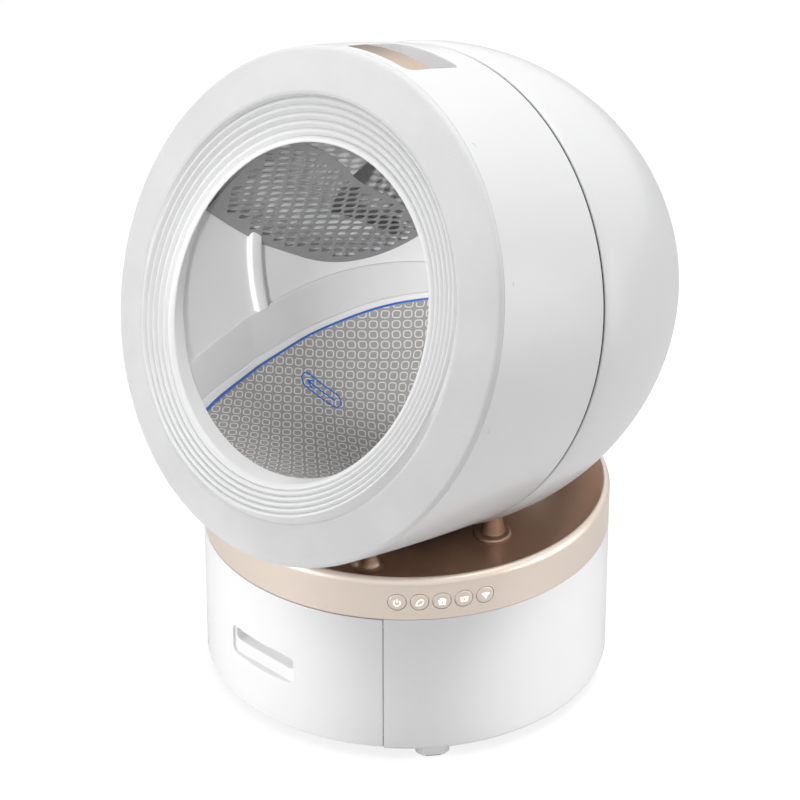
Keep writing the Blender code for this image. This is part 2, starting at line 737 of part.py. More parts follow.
def make_floor_plate():
    profile = [
        (0, FLOOR_TOP),
        (FLOOR_RADIUS, FLOOR_TOP),
        (FLOOR_RADIUS, FOOT_HEIGHT),
        (0, FOOT_HEIGHT),
    ]
    plate = turned("chassis_plate", profile, "dark_grey", steps=BIG_STEPS, closed=False)
    columns = [(sx * COLUMN_X, sy * COLUMN_Y) for sx in (1, -1) for sy in (1, -1)]
    low = FLOOR_TOP - FLOOR_PLATE / 2
    top = DECK_UNDER - GAP
    cut(plate, rods("columns", COLUMN_RADIUS, low, top, columns, steps=TINY_STEPS), "UNION")
    half = MAIN_BOARD_WIDTH / 2 - STANDOFF_INSET
    rows = (MAIN_BOARD_FRONT + STANDOFF_INSET, MAIN_BOARD_BACK - STANDOFF_INSET)
    places = [(side * half, row) for side in (1, -1) for row in rows]
    top = MAIN_BOARD_HEIGHT - GAP
    cut(plate, rods("standoffs", STANDOFF_RADIUS, low, top, places, steps=TINY_STEPS), "UNION")


def make_skirt():
    inner_top = BASE_RADIUS - BASE_WALL
    inner_bottom = SKIRT_BOTTOM_RADIUS - BASE_WALL
    profile = [
        (BASE_RADIUS, SKIRT_TOP),
        (SKIRT_BOTTOM_RADIUS, FOOT_HEIGHT + SKIRT_CHAMFER),
        (SKIRT_BOTTOM_RADIUS - SKIRT_CHAMFER / 2, FOOT_HEIGHT),
        (inner_bottom, FOOT_HEIGHT),
        (inner_top, SKIRT_TOP - BASE_WALL),
        (BASE_RADIUS - SKIRT_FLANGE, SKIRT_TOP - BASE_WALL),
        (BASE_RADIUS - SKIRT_FLANGE, SKIRT_TOP),
    ]
    skirt = turned("base_skirt", profile, "white_gloss", steps=BIG_STEPS)
    reach = BASE_RADIUS + OVERRUN
    wedge = [(0, 0)] + arc(reach, -DRAWER_HALF_ANGLE, DRAWER_HALF_ANGLE, 8)
    cut(skirt, extruded("drawer_way", [wedge], 0, SKIRT_TOP + OVERRUN))
    turn = ELEVATION.copy()
    turn.translation = (0, BASE_RADIUS, INLET_HEIGHT)
    cut(skirt, rod("inlet_hole", INLET_RADIUS + GAP, -OVERRUN, OVERRUN, matrix=turn))


def foot_outline(inset):
    outer = BASE_RADIUS - FOOT_INSET - inset
    half = FOOT_WIDTH / 2 - inset
    inner = BASE_RADIUS - FOOT_INSET - FOOT_DEPTH + inset
    return [
        (half, -inner),
        (-half, -inner),
        (-half, -outer + FOOT_CHAMFER),
        (-half + FOOT_CHAMFER, -outer),
        (half - FOOT_CHAMFER, -outer),
        (half, -outer + FOOT_CHAMFER),
    ]


def make_feet():
    for number, angle in enumerate(FOOT_ANGLES, 1):
        turn = Matrix.Rotation(math.radians(angle), 4, "Z")
        low = PAD_HEIGHT + GAP
        high = FOOT_HEIGHT - GAP
        foot = extruded(f"foot_{number}", [foot_outline(0)], low, high, "white_matte", matrix=turn)
        edge = foot.modifiers.new("edge", "BEVEL")
        edge.width = PAD_INSET / 4
        edge.segments = 1
        outline = foot_outline(PAD_INSET)
        extruded(f"foot_pad_{number}", [outline], 0, PAD_HEIGHT, "rubber_black", matrix=turn)


def deck_profile():
    """The dish from its flat floor up to the rim, then the soft shoulder and the outer wall."""
    wall = BASE_WALL
    rise = RIM_HEIGHT - DISH_HEIGHT
    top = [(0, DISH_HEIGHT)]
    for share in DISH_SHARES:
        radius = DISH_FLAT_RADIUS + (RIM_RADIUS - DISH_FLAT_RADIUS) * share
        top.append((radius, DISH_HEIGHT + rise * share ** 3))
    shoulder = []
    width = BASE_RADIUS - RIM_RADIUS - wall / 6
    for index in range(1, 4):
        angle = math.pi / 2 * index / 3
        drop = RIM_SOFTNESS * (1 - math.cos(angle))
        shoulder.append((BASE_RADIUS - width * (1 - math.sin(angle)), RIM_HEIGHT - drop))
    under = [(radius + wall / 2, height - wall) for radius, height in reversed(top[1:-1])]
    return top + shoulder + [
        (BASE_RADIUS, SEAM_HEIGHT),
        (BASE_RADIUS - wall, SEAM_HEIGHT),
        (BASE_RADIUS - wall, RIM_HEIGHT - RIM_SOFTNESS),
        (RIM_RADIUS + wall / 2, RIM_HEIGHT - wall),
        *under,
        (0, DECK_UNDER),
    ]


def button_matrix(number):
    angle = math.radians(BUTTON_FIRST_ANGLE + BUTTON_STEP_ANGLE * number)
    out = Vector((math.sin(angle), -math.cos(angle), 0))
    turn = out.to_track_quat("Z", "Y").to_matrix().to_4x4()
    turn.translation = out * BASE_RADIUS + Vector((0, 0, BUTTON_HEIGHT))
    return turn


def make_deck():
    deck = turned("deck", deck_profile(), "champagne", steps=BIG_STEPS, closed=False)
    hole = rounded(CHUTE_HALF_X + GAP, CHUTE_FRONT_Y - GAP, CHUTE_BACK_Y + GAP, CHUTE_WALL * 3)
    cut(deck, extruded("deck_hole", [hole], DECK_UNDER - OVERRUN, DISH_HEIGHT + OVERRUN))
    for number, name in enumerate(BUTTON_NAMES):
        matrix = button_matrix(number)
        radius = BUTTON_RADIUS + BUTTON_HOLE_GAP
        cut(deck, rod(f"hole_{name}", radius, -BASE_WALL * 2, BASE_WALL, matrix=matrix))


def make_buttons():
    stem_end = BASE_RADIUS - BOARD_RADIUS - BOARD_THICKNESS - BUTTON_TRAVEL - GAP
    flange_top = -BASE_WALL - BASE_RADIUS * FACET_SHARE - GAP
    flange_low = flange_top - BUTTON_FLANGE_THICKNESS
    radius = BUTTON_RADIUS
    profile = [(radius * out, BUTTON_CROWN * up) for out, up in BUTTON_CROWN_SHARES] + [
        (radius, flange_top),
        (radius + BUTTON_FLANGE, flange_top),
        (radius + BUTTON_FLANGE, flange_low),
        (BUTTON_STEM_RADIUS, flange_low),
        (BUTTON_STEM_RADIUS, -stem_end),
        (0, -stem_end),
    ]
    for number, name in enumerate(BUTTON_NAMES):
        matrix = button_matrix(number)
        turned(f"button_{name}", profile, "white_gloss", steps=SMALL_STEPS, closed=False, matrix=matrix)
    outer = BOARD_RADIUS + BOARD_THICKNESS
    strip = band_outline(BOARD_RADIUS, outer, BOARD_FIRST_ANGLE, BOARD_LAST_ANGLE, 10)
    extruded("button_board", [strip], SKIRT_TOP + GAP, BOARD_TOP, "circuit_green")


def make_drawer_front():
    outer = BASE_RADIUS + BASE_DRAFT / 2
    inner = outer - DRAWER_PANEL
    half = DRAWER_HALF_ANGLE - math.degrees(DRAWER_SIDE_GAP / BASE_RADIUS)
    top = SEAM_HEIGHT - DRAWER_TOP_GAP
    panel = band_outline(inner, outer, -half, half, 14)
    front = extruded("drawer_front", [panel], DRAWER_BOTTOM, top, "white_gloss")
    back = outer - PULL_DEPTH - PULL_WALL
    wall = PULL_WALL
    shell = rounded(PULL_HALF_WIDTH + wall, PULL_LOW - wall, PULL_HIGH + wall, PULL_CORNER + wall)
    pocket = extruded("pull_shell", [shell], back, outer + OVERRUN, matrix=ELEVATION)
    room = rod("panel_round", outer - DRAWER_PANEL / 2, 0, SEAM_HEIGHT, steps=BIG_STEPS)
    cut(pocket, room, "INTERSECT")
    cut(front, pocket, "UNION")
    mouth = rounded(PULL_HALF_WIDTH, PULL_LOW, PULL_HIGH, PULL_CORNER)
    cut(front, extruded("pull_mouth", [mouth], outer - PULL_STEP, outer + OVERRUN, matrix=ELEVATION))
    shelf = PULL_LOW + (PULL_HIGH - PULL_LOW) * (1 - PULL_SHELF_SHARE)
    deep = rounded(PULL_HALF_WIDTH, shelf, PULL_HIGH, PULL_CORNER)
    cut(front, extruded("pull_deep", [deep], outer - PULL_DEPTH, outer, matrix=ELEVATION))


def make_drawer():
    make_drawer_front()
    inner = BASE_RADIUS + BASE_DRAFT / 2 - DRAWER_PANEL - GAP
    reach = math.degrees(math.asin(TRAY_HALF_WIDTH / inner))
    edge = arc(inner, -reach, reach, 14)
    tray = edge + [(TRAY_HALF_WIDTH, TRAY_BACK), (-TRAY_HALF_WIDTH, TRAY_BACK)]
    tray_top = TRAY_LOW + TRAY_THICKNESS
    extruded("drawer_tray", [tray], TRAY_LOW, tray_top, "light_grey")
    bin_low = tray_top + GAP
    bin_top = bin_low + BIN_HEIGHT
    make_bin(bin_low, bin_top)
    make_bag_frame(bin_top)


def make_bin(low, top):
    """A tapered tub, as a loft of two rounded rectangles."""
    bm = bmesh.new()
    levels = (
        (low, BIN_TAPER, 0),
        (top, 0, 0),
        (top, 0, BIN_WALL),
        (low + BIN_WALL, BIN_TAPER, BIN_WALL),
    )
    rings = []
    for height, taper, inset in levels:
        half = BIN_HALF_WIDTH - taper - inset
        outline = rounded(half, BIN_FRONT + taper + inset, BIN_BACK - taper - inset, BIN_CORNER - inset)
        rings.append([bm.verts.new((x, y, height)) for x, y in outline])
    for first, second in zip(rings, rings[1:]):
        for index in range(len(first)):
            after = (index + 1) % len(first)
            bm.faces.new((first[index], first[after], second[after], second[index]))
    bm.faces.new(rings[0])
    bm.faces.new(rings[-1])
    place("waste_bin", mesh_of(bm, "waste_bin"), "dark_grey")


def make_bag_frame(bin_top):
    """A ring that lies on the bin's rim, with a lip that holds the bag against its inner wall."""
    low = bin_top + GAP
    high = low + BAG_FRAME_THICKNESS
    gap = BIN_WALL + GAP * 2
    outer = rounded(BIN_HALF_WIDTH, BIN_FRONT, BIN_BACK, BIN_CORNER)
    window = rounded(
        BIN_HALF_WIDTH - BAG_FRAME_WIDTH,
        BIN_FRONT + BAG_FRAME_WIDTH,
        BIN_BACK - BAG_FRAME_WIDTH,
        BIN_CORNER / 2,
    )
    frame = extruded("bag_frame", [outer, window], low, high, "light_grey")
    lip = rounded(BIN_HALF_WIDTH - gap, BIN_FRONT + gap, BIN_BACK - gap, BIN_CORNER - gap)
    lip_in = rounded(
        BIN_HALF_WIDTH - gap - BAG_FRAME_THICKNESS,
        BIN_FRONT + gap + BAG_FRAME_THICKNESS,
        BIN_BACK - gap - BAG_FRAME_THICKNESS,
        BIN_CORNER - gap - BAG_FRAME_THICKNESS,
    )
    lip_top = high - BAG_FRAME_THICKNESS / 2
    cut(frame, extruded("bag_lip", [lip, lip_in], low - BAG_LIP, lip_top), "UNION")


def make_runners():
    """A channel on each side, which the tray's edge slides in."""
    inner = RUNNER_OUTER_X - RUNNER_WALL
    slot_low = TRAY_LOW - RUNNER_SLOT_GAP
    slot_high = TRAY_LOW + TRAY_THICKNESS + RUNNER_SLOT_GAP
    mouth = TRAY_HALF_WIDTH - RUNNER_LIP
    for side, name in ((1, "right"), (-1, "left")):
        outline = [
            (side * RUNNER_OUTER_X, FLOOR_TOP + GAP),
            (side * RUNNER_OUTER_X, slot_high + RUNNER_WALL),
            (side * mouth, slot_high + RUNNER_WALL),
            (side * mouth, slot_high),
            (side * inner, slot_high),
            (side * inner, slot_low),
            (side * mouth, slot_low),
            (side * mouth, FLOOR_TOP + GAP),
        ]
        extruded(f"runner_{name}", [outline], -TRAY_BACK, -RUNNER_FRONT, "steel", matrix=ELEVATION)


def board_place(shares, height):
    """A corner on the main board, at shares of its half width and of its depth."""
    depth = MAIN_BOARD_BACK - MAIN_BOARD_FRONT
    across, along = shares
    return (MAIN_BOARD_WIDTH / 2 * across, MAIN_BOARD_FRONT + depth * along, height)


def make_main_board():
    """The control board with its relay and its row of plug sockets."""
    top = MAIN_BOARD_HEIGHT + MAIN_BOARD_THICKNESS
    sink = top - MAIN_BOARD_THICKNESS / 2
    depth = MAIN_BOARD_BACK - MAIN_BOARD_FRONT
    low = (-MAIN_BOARD_WIDTH / 2, MAIN_BOARD_FRONT, MAIN_BOARD_HEIGHT)
    high = (MAIN_BOARD_WIDTH / 2, MAIN_BOARD_BACK, top)
    board = block("main_board", low, high, "circuit_green")
    relay_high = board_place(RELAY_HIGH_SHARES, top + depth * RELAY_RISE_SHARE)
    cut(board, block("relay", board_place(RELAY_LOW_SHARES, sink), relay_high), "UNION")
    socket_high = board_place(SOCKET_HIGH_SHARES, top + depth * SOCKET_RISE_SHARE)
    cut(board, block("socket_row", board_place(SOCKET_LOW_SHARES, sink), socket_high), "UNION")


def make_inlet():
    """The round low-voltage socket in the skirt's back, open outwards with a centre pin."""
    turn = Matrix.Rotation(math.radians(-90), 4, "X")
    turn.translation = (0, BASE_RADIUS + BASE_DRAFT + GAP, INLET_HEIGHT)
    flange = INLET_FLANGE_THICKNESS
    profile = [
        (0, flange - INLET_BORE_DEPTH / 3),
        (INLET_PIN, flange - INLET_BORE_DEPTH / 3),
        (INLET_PIN, flange - INLET_BORE_DEPTH),
        (INLET_BORE, flange - INLET_BORE_DEPTH),
        (INLET_BORE, flange),
        (INLET_FLANGE, flange),
        (INLET_FLANGE, 0),
        (INLET_RADIUS, 0),
        (INLET_RADIUS, flange - INLET_DEPTH),
        (0, flange - INLET_DEPTH),
    ]
    turned("power_inlet", profile, "rubber_black", steps=SMALL_STEPS, closed=False, matrix=turn)


def make_posts():
    """Two coned posts beside the chute and two bells in front, cut to the globe, with rubber between."""
    skins = {
        "side": [globe_block(f"globe_{index}", grow) for index, grow in enumerate(buffer_offsets())],
        "front": [ring_block(f"ring_{index}", -grow) for index, grow in enumerate(buffer_offsets())],
    }
    for side, hand in ((1, "right"), (-1, "left")):
        place_at = Matrix.Translation((side * SIDE_POST_X, SIDE_POST_Y, 0))
        low = DISH_HEIGHT + GAP
        high = low + RIM_HEIGHT - DISH_HEIGHT
        profile = [
            (0, high),
            (POST_TOP_RADIUS, high),
            (POST_TOP_RADIUS, low + POST_FLANGE_RADIUS),
            (POST_FOOT_RADIUS, low + POST_FLANGE_HEIGHT),
            (POST_FLANGE_RADIUS - POST_FLANGE_HEIGHT / 2, low + POST_FLANGE_HEIGHT),
            (POST_FLANGE_RADIUS, low + POST_FLANGE_HEIGHT / 2),
            (POST_FLANGE_RADIUS, low),
            (0, low),
        ]
        name = f"side_post_{hand}"
        post = turned(name, profile, "champagne", None, POST_STEPS, closed=False, matrix=place_at)
        cut(post, skins["side"][2])
        pad(f"side_buffer_{hand}", POST_TOP_RADIUS, low, high, place_at, skins["side"])
    for side, hand in ((1, "right"), (-1, "left")):
        place_at = Matrix.Translation((side * FRONT_POST_X, FRONT_POST_Y, 0))
        low = DISH_HEIGHT + GAP
        high = low + (RIM_HEIGHT - DISH_HEIGHT) * FRONT_POST_RISE_SHARE
        profile = bell_profile(low, high)
        name = f"front_post_{hand}"
        post = turned(name, profile, "champagne", None, POST_STEPS, closed=False, matrix=place_at)
        cut(post, skins["front"][2])
        pad(f"front_buffer_{hand}", BELL_TOP_RADIUS, low, high, place_at, skins["front"])


def buffer_offsets():
    """Distances from the globe's skin: the buffer's top, its foot, and the post's top."""
    return (GAP, GAP + BUFFER_THICKNESS, GAP * 2 + BUFFER_THICKNESS)


def bell_profile(low, high):
    """A bell that draws in from its foot to a straight neck."""
    points = [(0, high), (BELL_TOP_RADIUS, high)]
    tall = RIM_HEIGHT - DISH_HEIGHT
    for index in range(5):
        share = index / 4
        flare = (BELL_FOOT_RADIUS - BELL_TOP_RADIUS) * (1 - math.sqrt(1 - share ** 2))
        points.append((BELL_TOP_RADIUS + flare, low + tall / 2 * (1 - share)))
    return points + [(0, low)]


def pad(name, radius, low, high, place_at, skins):
    buffer = rod(name, radius, low, high, "rubber_black", matrix=place_at)
    cut(buffer, skins[1], "INTERSECT")
    cut(buffer, skins[0])


def make_chute():
    """A square sleeve through the deck, from the globe's underside down into the bin's mouth."""
    low = DECK_UNDER - CHUTE_DROP
    high = RIM_HEIGHT
    wall = CHUTE_WALL
    corner = wall * 3
    outer = rounded(CHUTE_HALF_X, CHUTE_FRONT_Y, CHUTE_BACK_Y, corner)
    inner = rounded(CHUTE_HALF_X - wall, CHUTE_FRONT_Y + wall, CHUTE_BACK_Y - wall, corner - wall)
    sleeve = extruded("waste_chute", [outer, inner], low, high, "dark_grey")
    cut(sleeve, globe_block("globe_chute", GAP * 2 + CHUTE_SEAL))
    seal = extruded("chute_seal", [outer, inner], DISH_HEIGHT, high, "rubber_black")
    cut(seal, globe_block("globe_seal_foot", GAP + CHUTE_SEAL), "INTERSECT")
    cut(seal, globe_block("globe_seal_top", GAP))


def boss_places():
    """The four bosses that carry the motor bracket, seen along the drum's axis."""
    places = []
    circle = arm_length() - BRACKET_ARM_END
    for index in range(4):
        angle = math.radians(45 + 90 * index)
        places.append((circle * math.sin(angle), circle * math.cos(angle)))
    return places


def make_dome():
    edge = SEAM_RADIUS - SEAM_EDGE_DROP
    seam = -SEAM_GAP / 2
    outer = dome_curve(DOME_RADIUS, DOME_LENGTH, DOME_LEVELS)
    inner = dome_curve(DOME_RADIUS - SHELL_WALL, DOME_LENGTH - SHELL_WALL, DOME_LEVELS // 2)
    profile = list(reversed(inner)) + [
        (edge - SHELL_WALL, seam - SEAM_EDGE_LENGTH),
        (edge - SHELL_WALL, seam),
        (edge, seam),
        (SEAM_RADIUS - SEAM_EDGE_DROP / 4, seam - SEAM_EDGE_LENGTH / 3),
        (SEAM_RADIUS, seam - SEAM_EDGE_LENGTH),
    ] + outer
    dome = turned("rear_dome", profile, "white_gloss", GLOBE, BIG_STEPS, closed=False)
    port = rounded(GLOBE_PORT_HALF_X, -GLOBE_PORT_FRONT, -GLOBE_PORT_BACK, CHUTE_WALL * 3)
    low = -DOME_RADIUS - OVERRUN
    cut(dome, extruded("globe_port", [port], low, -DRUM_RADIUS, parent=GLOBE, matrix=PLAN))
    back = -DOME_LENGTH - OVERRUN
    front = BRACKET_BACK - GAP
    bosses = rods("dome_bosses", BOSS_RADIUS, back, front, boss_places(), DRUM, TINY_STEPS)
    cut(bosses, globe_block("boss_room", -SHELL_WALL / 2), "INTERSECT")
    cut(dome, bosses, "UNION")


def make_seam_gasket():
    outer = SEAM_RADIUS - GASKET_DROP
    inner = outer - GASKET_DEPTH
    half = SEAM_GAP / 2 - GAP
    profile = [(outer, half), (outer, -half), (inner, -half), (inner, half)]
    turned("seam_gasket", profile, "rubber_black", GLOBE, BIG_STEPS)


def make_middle_ring():
    edge = SEAM_RADIUS - SEAM_EDGE_DROP
    seam = SEAM_GAP / 2
    outer = ring_sections(0)
    inner = ring_sections(SHELL_WALL)
    sections = [
        section(edge, seam),
        section(SEAM_RADIUS - SEAM_EDGE_DROP / 4, seam + SEAM_EDGE_LENGTH / 3),
        *outer,
        *reversed(inner),
        section(edge - SHELL_WALL, seam + SEAM_EDGE_LENGTH),
        section(edge - SHELL_WALL, seam),
    ]
    ring = loft("middle_ring", sections, "white_gloss", GLOBE)
    wall = SHELL_WALL
    tub = rounded(GRIP_HALF_WIDTH + wall, -GRIP_FRONT - wall, -GRIP_BACK + wall, GRIP_CORNER + wall)
    tub = extruded("grip_tub", [tub], GRIP_FLOOR - wall, COVER_SEAM_RADIUS, parent=GLOBE, matrix=PLAN)
    cut(tub, ring_block("ring_outer", wall / 3), "INTERSECT")
    cut(ring, tub, "UNION")
    well = rounded(GRIP_HALF_WIDTH, -GRIP_FRONT, -GRIP_BACK, GRIP_CORNER)
    top = COVER_SEAM_RADIUS + OVERRUN
    cut(ring, extruded("grip_well", [well], GRIP_FLOOR, top, parent=GLOBE, matrix=PLAN))


def make_grip_strip():
    """The bright bar across the front half of the grip's well, curved as the ring is."""
    outer = GRIP_STRIP_RADIUS
    inner = outer - GRIP_STRIP_THICKNESS
    half = math.degrees(math.asin((GRIP_HALF_WIDTH - GAP) / outer))
    outline = [(x, -y) for x, y in band_outline(inner, outer, -half, half, 10)]
    high = GRIP_FRONT - GAP
    strip = extruded("grip_strip", [outline], high - GRIP_STRIP_WIDTH, high, "champagne", GLOBE)
    well = rounded(GRIP_HALF_WIDTH - GAP, -GRIP_FRONT + GAP, -GRIP_BACK, GRIP_CORNER)
    room = extruded("strip_round", [well], 0, COVER_SEAM_RADIUS, parent=GLOBE, matrix=PLAN)
    cut(strip, room, "INTERSECT")


def moved(base, radius, reach):
    """A section shifted from another one by a little radius and reach."""
    return (base[0] + radius, base[1] + reach, base[2], base[3])


def make_front_cover():
    wall = SHELL_WALL
    seam = section(COVER_SEAM_RADIUS, COVER_SEAM_REACH + GAP, COVER_SEAM_RISE, COVER_SEAM_LEAN)
    step = section(STEP_RADIUS, STEP_REACH, STEP_RISE, STEP_LEAN)
    sections = [
        seam,
        *[moved(seam, wall * out, wall * along) for out, along in COVER_EDGE_SHARES],
        moved(step, wall / 2, 0),
        moved(step, 0, -wall / 6),
        moved(step, -wall / 2, -wall / 2),
        moved(step, -wall / 2, -STEP_DEPTH),
        moved(step, wall, -STEP_DEPTH - wall / 3),
        moved(seam, -wall * 2, -wall / 6),
        moved(seam, -wall * 2, -COVER_LIP),
        moved(seam, -wall - GAP * 2, -COVER_LIP),
        moved(seam, -wall - GAP * 2, 0),
    ]
    loft("front_cover", sections, "white_matte", GLOBE)


def throat_section(radius):
    """The throat's end, square to the drum's axis just in front of the drum's mouth."""
    lean = math.radians(DRUM_LEAN)
    return section(
        radius,
        THROAT_REACH * math.cos(lean),
        THROAT_REACH * math.sin(lean) - DRUM_DROP,
        DRUM_LEAN,
    )


def make_entrance_ring():
    """Five waves between a leaning outer circle and a lip set lower, with a throat down to the drum."""
    hole = STEP_RADIUS - SHELL_WALL / 2 - GAP
    ridge = section(RIDGE_RADIUS, RIDGE_REACH, RIDGE_RISE, RIDGE_LEAN)
    lip = section(LIP_RADIUS, LIP_REACH, LIP_RISE, LIP_LEAN)
    edge = section(ENTRANCE_RADIUS, ENTRANCE_REACH, ENTRANCE_RISE, ENTRANCE_LEAN)
    under = STEP_REACH - STEP_DEPTH - SHELL_WALL / 3 - GAP * 2
    sections = [
        section(hole + RING_FLANGE, under - RING_FLANGE / 5 - RING_WALL, STEP_RISE, STEP_LEAN),
        section(hole + RING_FLANGE, under - RING_FLANGE / 5, STEP_RISE, STEP_LEAN),
        section(hole, under, STEP_RISE, STEP_LEAN),
        section(hole, STEP_REACH - SHELL_WALL / 3, STEP_RISE, STEP_LEAN),
    ]
    steps = RIDGE_COUNT * 2
    for index in range(steps + 1):
        wave = RIDGE_WAVE if index % 2 else -RIDGE_WAVE
        sections.append(moved(between(ridge, lip, index / steps), 0, wave))
    for share, wave in LIP_ROUND_SHARES:
        sections.append(moved(between(lip, edge, share), 0, RIDGE_WAVE * wave))
    sections += [
        moved(edge, -RIDGE_WAVE / 4, -RING_WALL / 2),
        throat_section(THROAT_RADIUS),
        throat_section(THROAT_RADIUS + RING_WALL),
        moved(edge, RING_WALL * 2, -RING_DEPTH),
        moved(ridge, RING_WALL, -RING_DEPTH),
    ]
    loft("entrance_ring", sections, "white_gloss", GLOBE)


def make_drum_shell():
    outer = drum_curve(0)
    inner = drum_curve(DRUM_WALL)
    bead_out = outer[0][0] + DRUM_BEAD
    bead_back = DRUM_MOUTH - DRUM_BEAD * 2
    profile = list(reversed(inner)) + [
        (bead_out, DRUM_MOUTH),
        (bead_out, bead_back),
        (outer[0][0], bead_back),
    ] + outer[1:]
    drum = turned("drum_shell", profile, "light_grey", DRUM, BIG_STEPS, closed=False)
    port = rounded(PORT_HALF_WIDTH, -PORT_FRONT, -PORT_BACK, CHUTE_WALL * 3)
    turn = spin(PORT_ANGLE) @ PLAN
    top = DRUM_RADIUS + OVERRUN
    cut(drum, extruded("drum_port", [port], DRUM_RADIUS / 2, top, parent=DRUM, matrix=turn))
    sink = DRUM_WALL / 2
    rib_layer = turned("wall_rib", lining_profile(-sink, sink + RIB_DEPTH), None, DRUM, closed=False)
    low = (-DRUM_RADIUS, RIB_FRONT_Y, BANK_LEVEL + GAP)
    high = (0, RIB_FRONT_Y + RIB_WIDTH, RIB_TOP)
    cut(rib_layer, block("rib_room", low, high), "INTERSECT")
    cut(drum, rib_layer, "UNION")


def lining_profile(outer_inset, thickness):
    """A layer that follows the drum's inner wall, from its mouth to its pole."""
    outer = drum_curve(DRUM_WALL + outer_inset)
    inner = drum_curve(DRUM_WALL + outer_inset + thickness)
    return list(reversed(inner)) + outer


def drum_lining(name, thickness, finish, low, high):
    """A layer on the drum's inner wall between two levels."""
    layer = turned(name, lining_profile(GAP, thickness), finish, DRUM, closed=False)
    reach = DRUM_RADIUS * 2
    cut(layer, block(f"{name}_levels", (-reach, -reach, low), (reach, reach, high)), "INTERSECT")


def make_lining():
    frame_top = MAT_LEVEL + GAP + MAT_FRAME_HEIGHT
    drum_lining("litter_mat", MAT_THICKNESS, "mat_grey", SEAM_HEIGHT, MAT_LEVEL)
    drum_lining("mat_frame", MAT_FRAME_THICKNESS, "light_grey", MAT_LEVEL + GAP, frame_top)
    drum_lining("litter_bank", BANK_THICKNESS, "middle_grey", frame_top + GAP, BANK_LEVEL)


def sieve_matrix():
    """A frame on the sieve's free edge, with X along it towards the back and Y across to the wall."""
    normal = Vector(SIEVE_NORMAL).normalized()
    along = Vector(SIEVE_EDGE_WAY)
    along = (along - normal * along.dot(normal)).normalized()
    across = normal.cross(along)
    matrix = Matrix((along, across, normal)).transposed().to_4x4()
    matrix.translation = [DRUM_RADIUS * share for share in SIEVE_EDGE_SHARES]
    return matrix


def sieve_outline():
    half = SIEVE_LENGTH / 2
    return [(-half, 0), (half, 0), (half, SIEVE_WIDTH), (-half, SIEVE_WIDTH)]


def slot_outline(along, across):
    """A slot with pointed-round ends, turned as its row is."""
    half = SIEVE_SLOT_LENGTH / 2
    side = SIEVE_SLOT_WIDTH / 2
    flat = half - side
    corners = ((half, 0), (flat, side), (-flat, side), (-half, 0), (-flat, -side), (flat, -side))
    turn = Matrix.Rotation(SIEVE_ROW_TURN, 2)
    return [tuple(turn @ Vector((along + x, across + y))) for x, y in corners]


def inside_drum(matrix, x, y, margin):
    """Whether a point of the sieve lies inside the drum by this margin."""
    point = matrix @ Vector((x, y, 0))
    radius = math.hypot(point.x, point.y) + margin
    inner = DRUM_RADIUS - DRUM_WALL
    if point.z > DRUM_MOUTH - SIEVE_FRONT_GAP - margin:
        return False
    if point.z > DRUM_CONE:
        share = (point.z - DRUM_CONE) / (DRUM_MOUTH - DRUM_CONE)
        inner -= (DRUM_RADIUS - DRUM_MOUTH_RADIUS) * share
    if radius >= inner:
        return False
    room = (1 - (radius / inner) ** DRUM_POWER) ** (1 / DRUM_POWER)
    return point.z > -DRUM_SHOULDER - (DRUM_TAIL - DRUM_WALL) * room + margin


def make_sieve():
    """A flat panel across the drum's upper left, with rows of slots, following the drum's wall."""
    matrix = sieve_matrix()
    holes = []
    rows = int(SIEVE_LENGTH / SIEVE_ROW_PITCH)
    columns = int(SIEVE_LENGTH / SIEVE_SLOT_PITCH)
    for row in range(-rows, rows):
        for column in range(-columns, columns):
            slot = slot_outline(column * SIEVE_SLOT_PITCH, row * SIEVE_ROW_PITCH)
            if all(y > SIEVE_MARGIN and inside_drum(matrix, x, y, SIEVE_MARGIN) for x, y in slot):
                holes.append(slot)
    half = SIEVE_THICKNESS / 2
    sieve = extruded("sieve", [sieve_outline()], -half, half, "sieve_grey", DRUM, matrix)
    front = DRUM_MOUTH - SIEVE_FRONT_GAP
    nose = DRUM_MOUTH + SIEVE_NOSE_REACH
    room = [(0, nose), (SIEVE_NOSE_RADIUS, nose), (SIEVE_NOSE_RADIUS, front)]
    room += drum_curve(DRUM_WALL + GAP, front)
    cut(sieve, turned("sieve_room", room, None, DRUM, closed=False), "INTERSECT")
    slots = extruded("sieve_slots", holes, -SIEVE_THICKNESS, SIEVE_THICKNESS, None, DRUM, matrix)
    cut(sieve, slots)


def gear_outline(teeth):
    """Straight-sided teeth on a pitch circle, the first one at the top."""
    pitch_radius = GEAR_MODULE * teeth / 2
    tip = pitch_radius + GEAR_MODULE * TOOTH_TIP_SHARE
    root = pitch_radius - GEAR_MODULE * TOOTH_ROOT_SHARE
    half = (math.pi * GEAR_MODULE - GEAR_BACKLASH) / 4
    half_tip = half - (tip - pitch_radius) * math.tan(TOOTH_SLOPE)
    half_root = half + (pitch_radius - root) * math.tan(TOOTH_SLOPE)
    points = []
    for index in range(teeth):
        angle = math.tau * index / teeth
        for radius, width in ((root, -half_root), (tip, -half_tip), (tip, half_tip), (root, half_root)):
            turn = angle + width / pitch_radius
            points.append((radius * math.sin(turn), radius * math.cos(turn)))
    return points


def circle(radius, steps):
    angles = [math.tau * index / steps for index in range(steps)]
    return [(radius * math.sin(angle), radius * math.cos(angle)) for angle in angles]


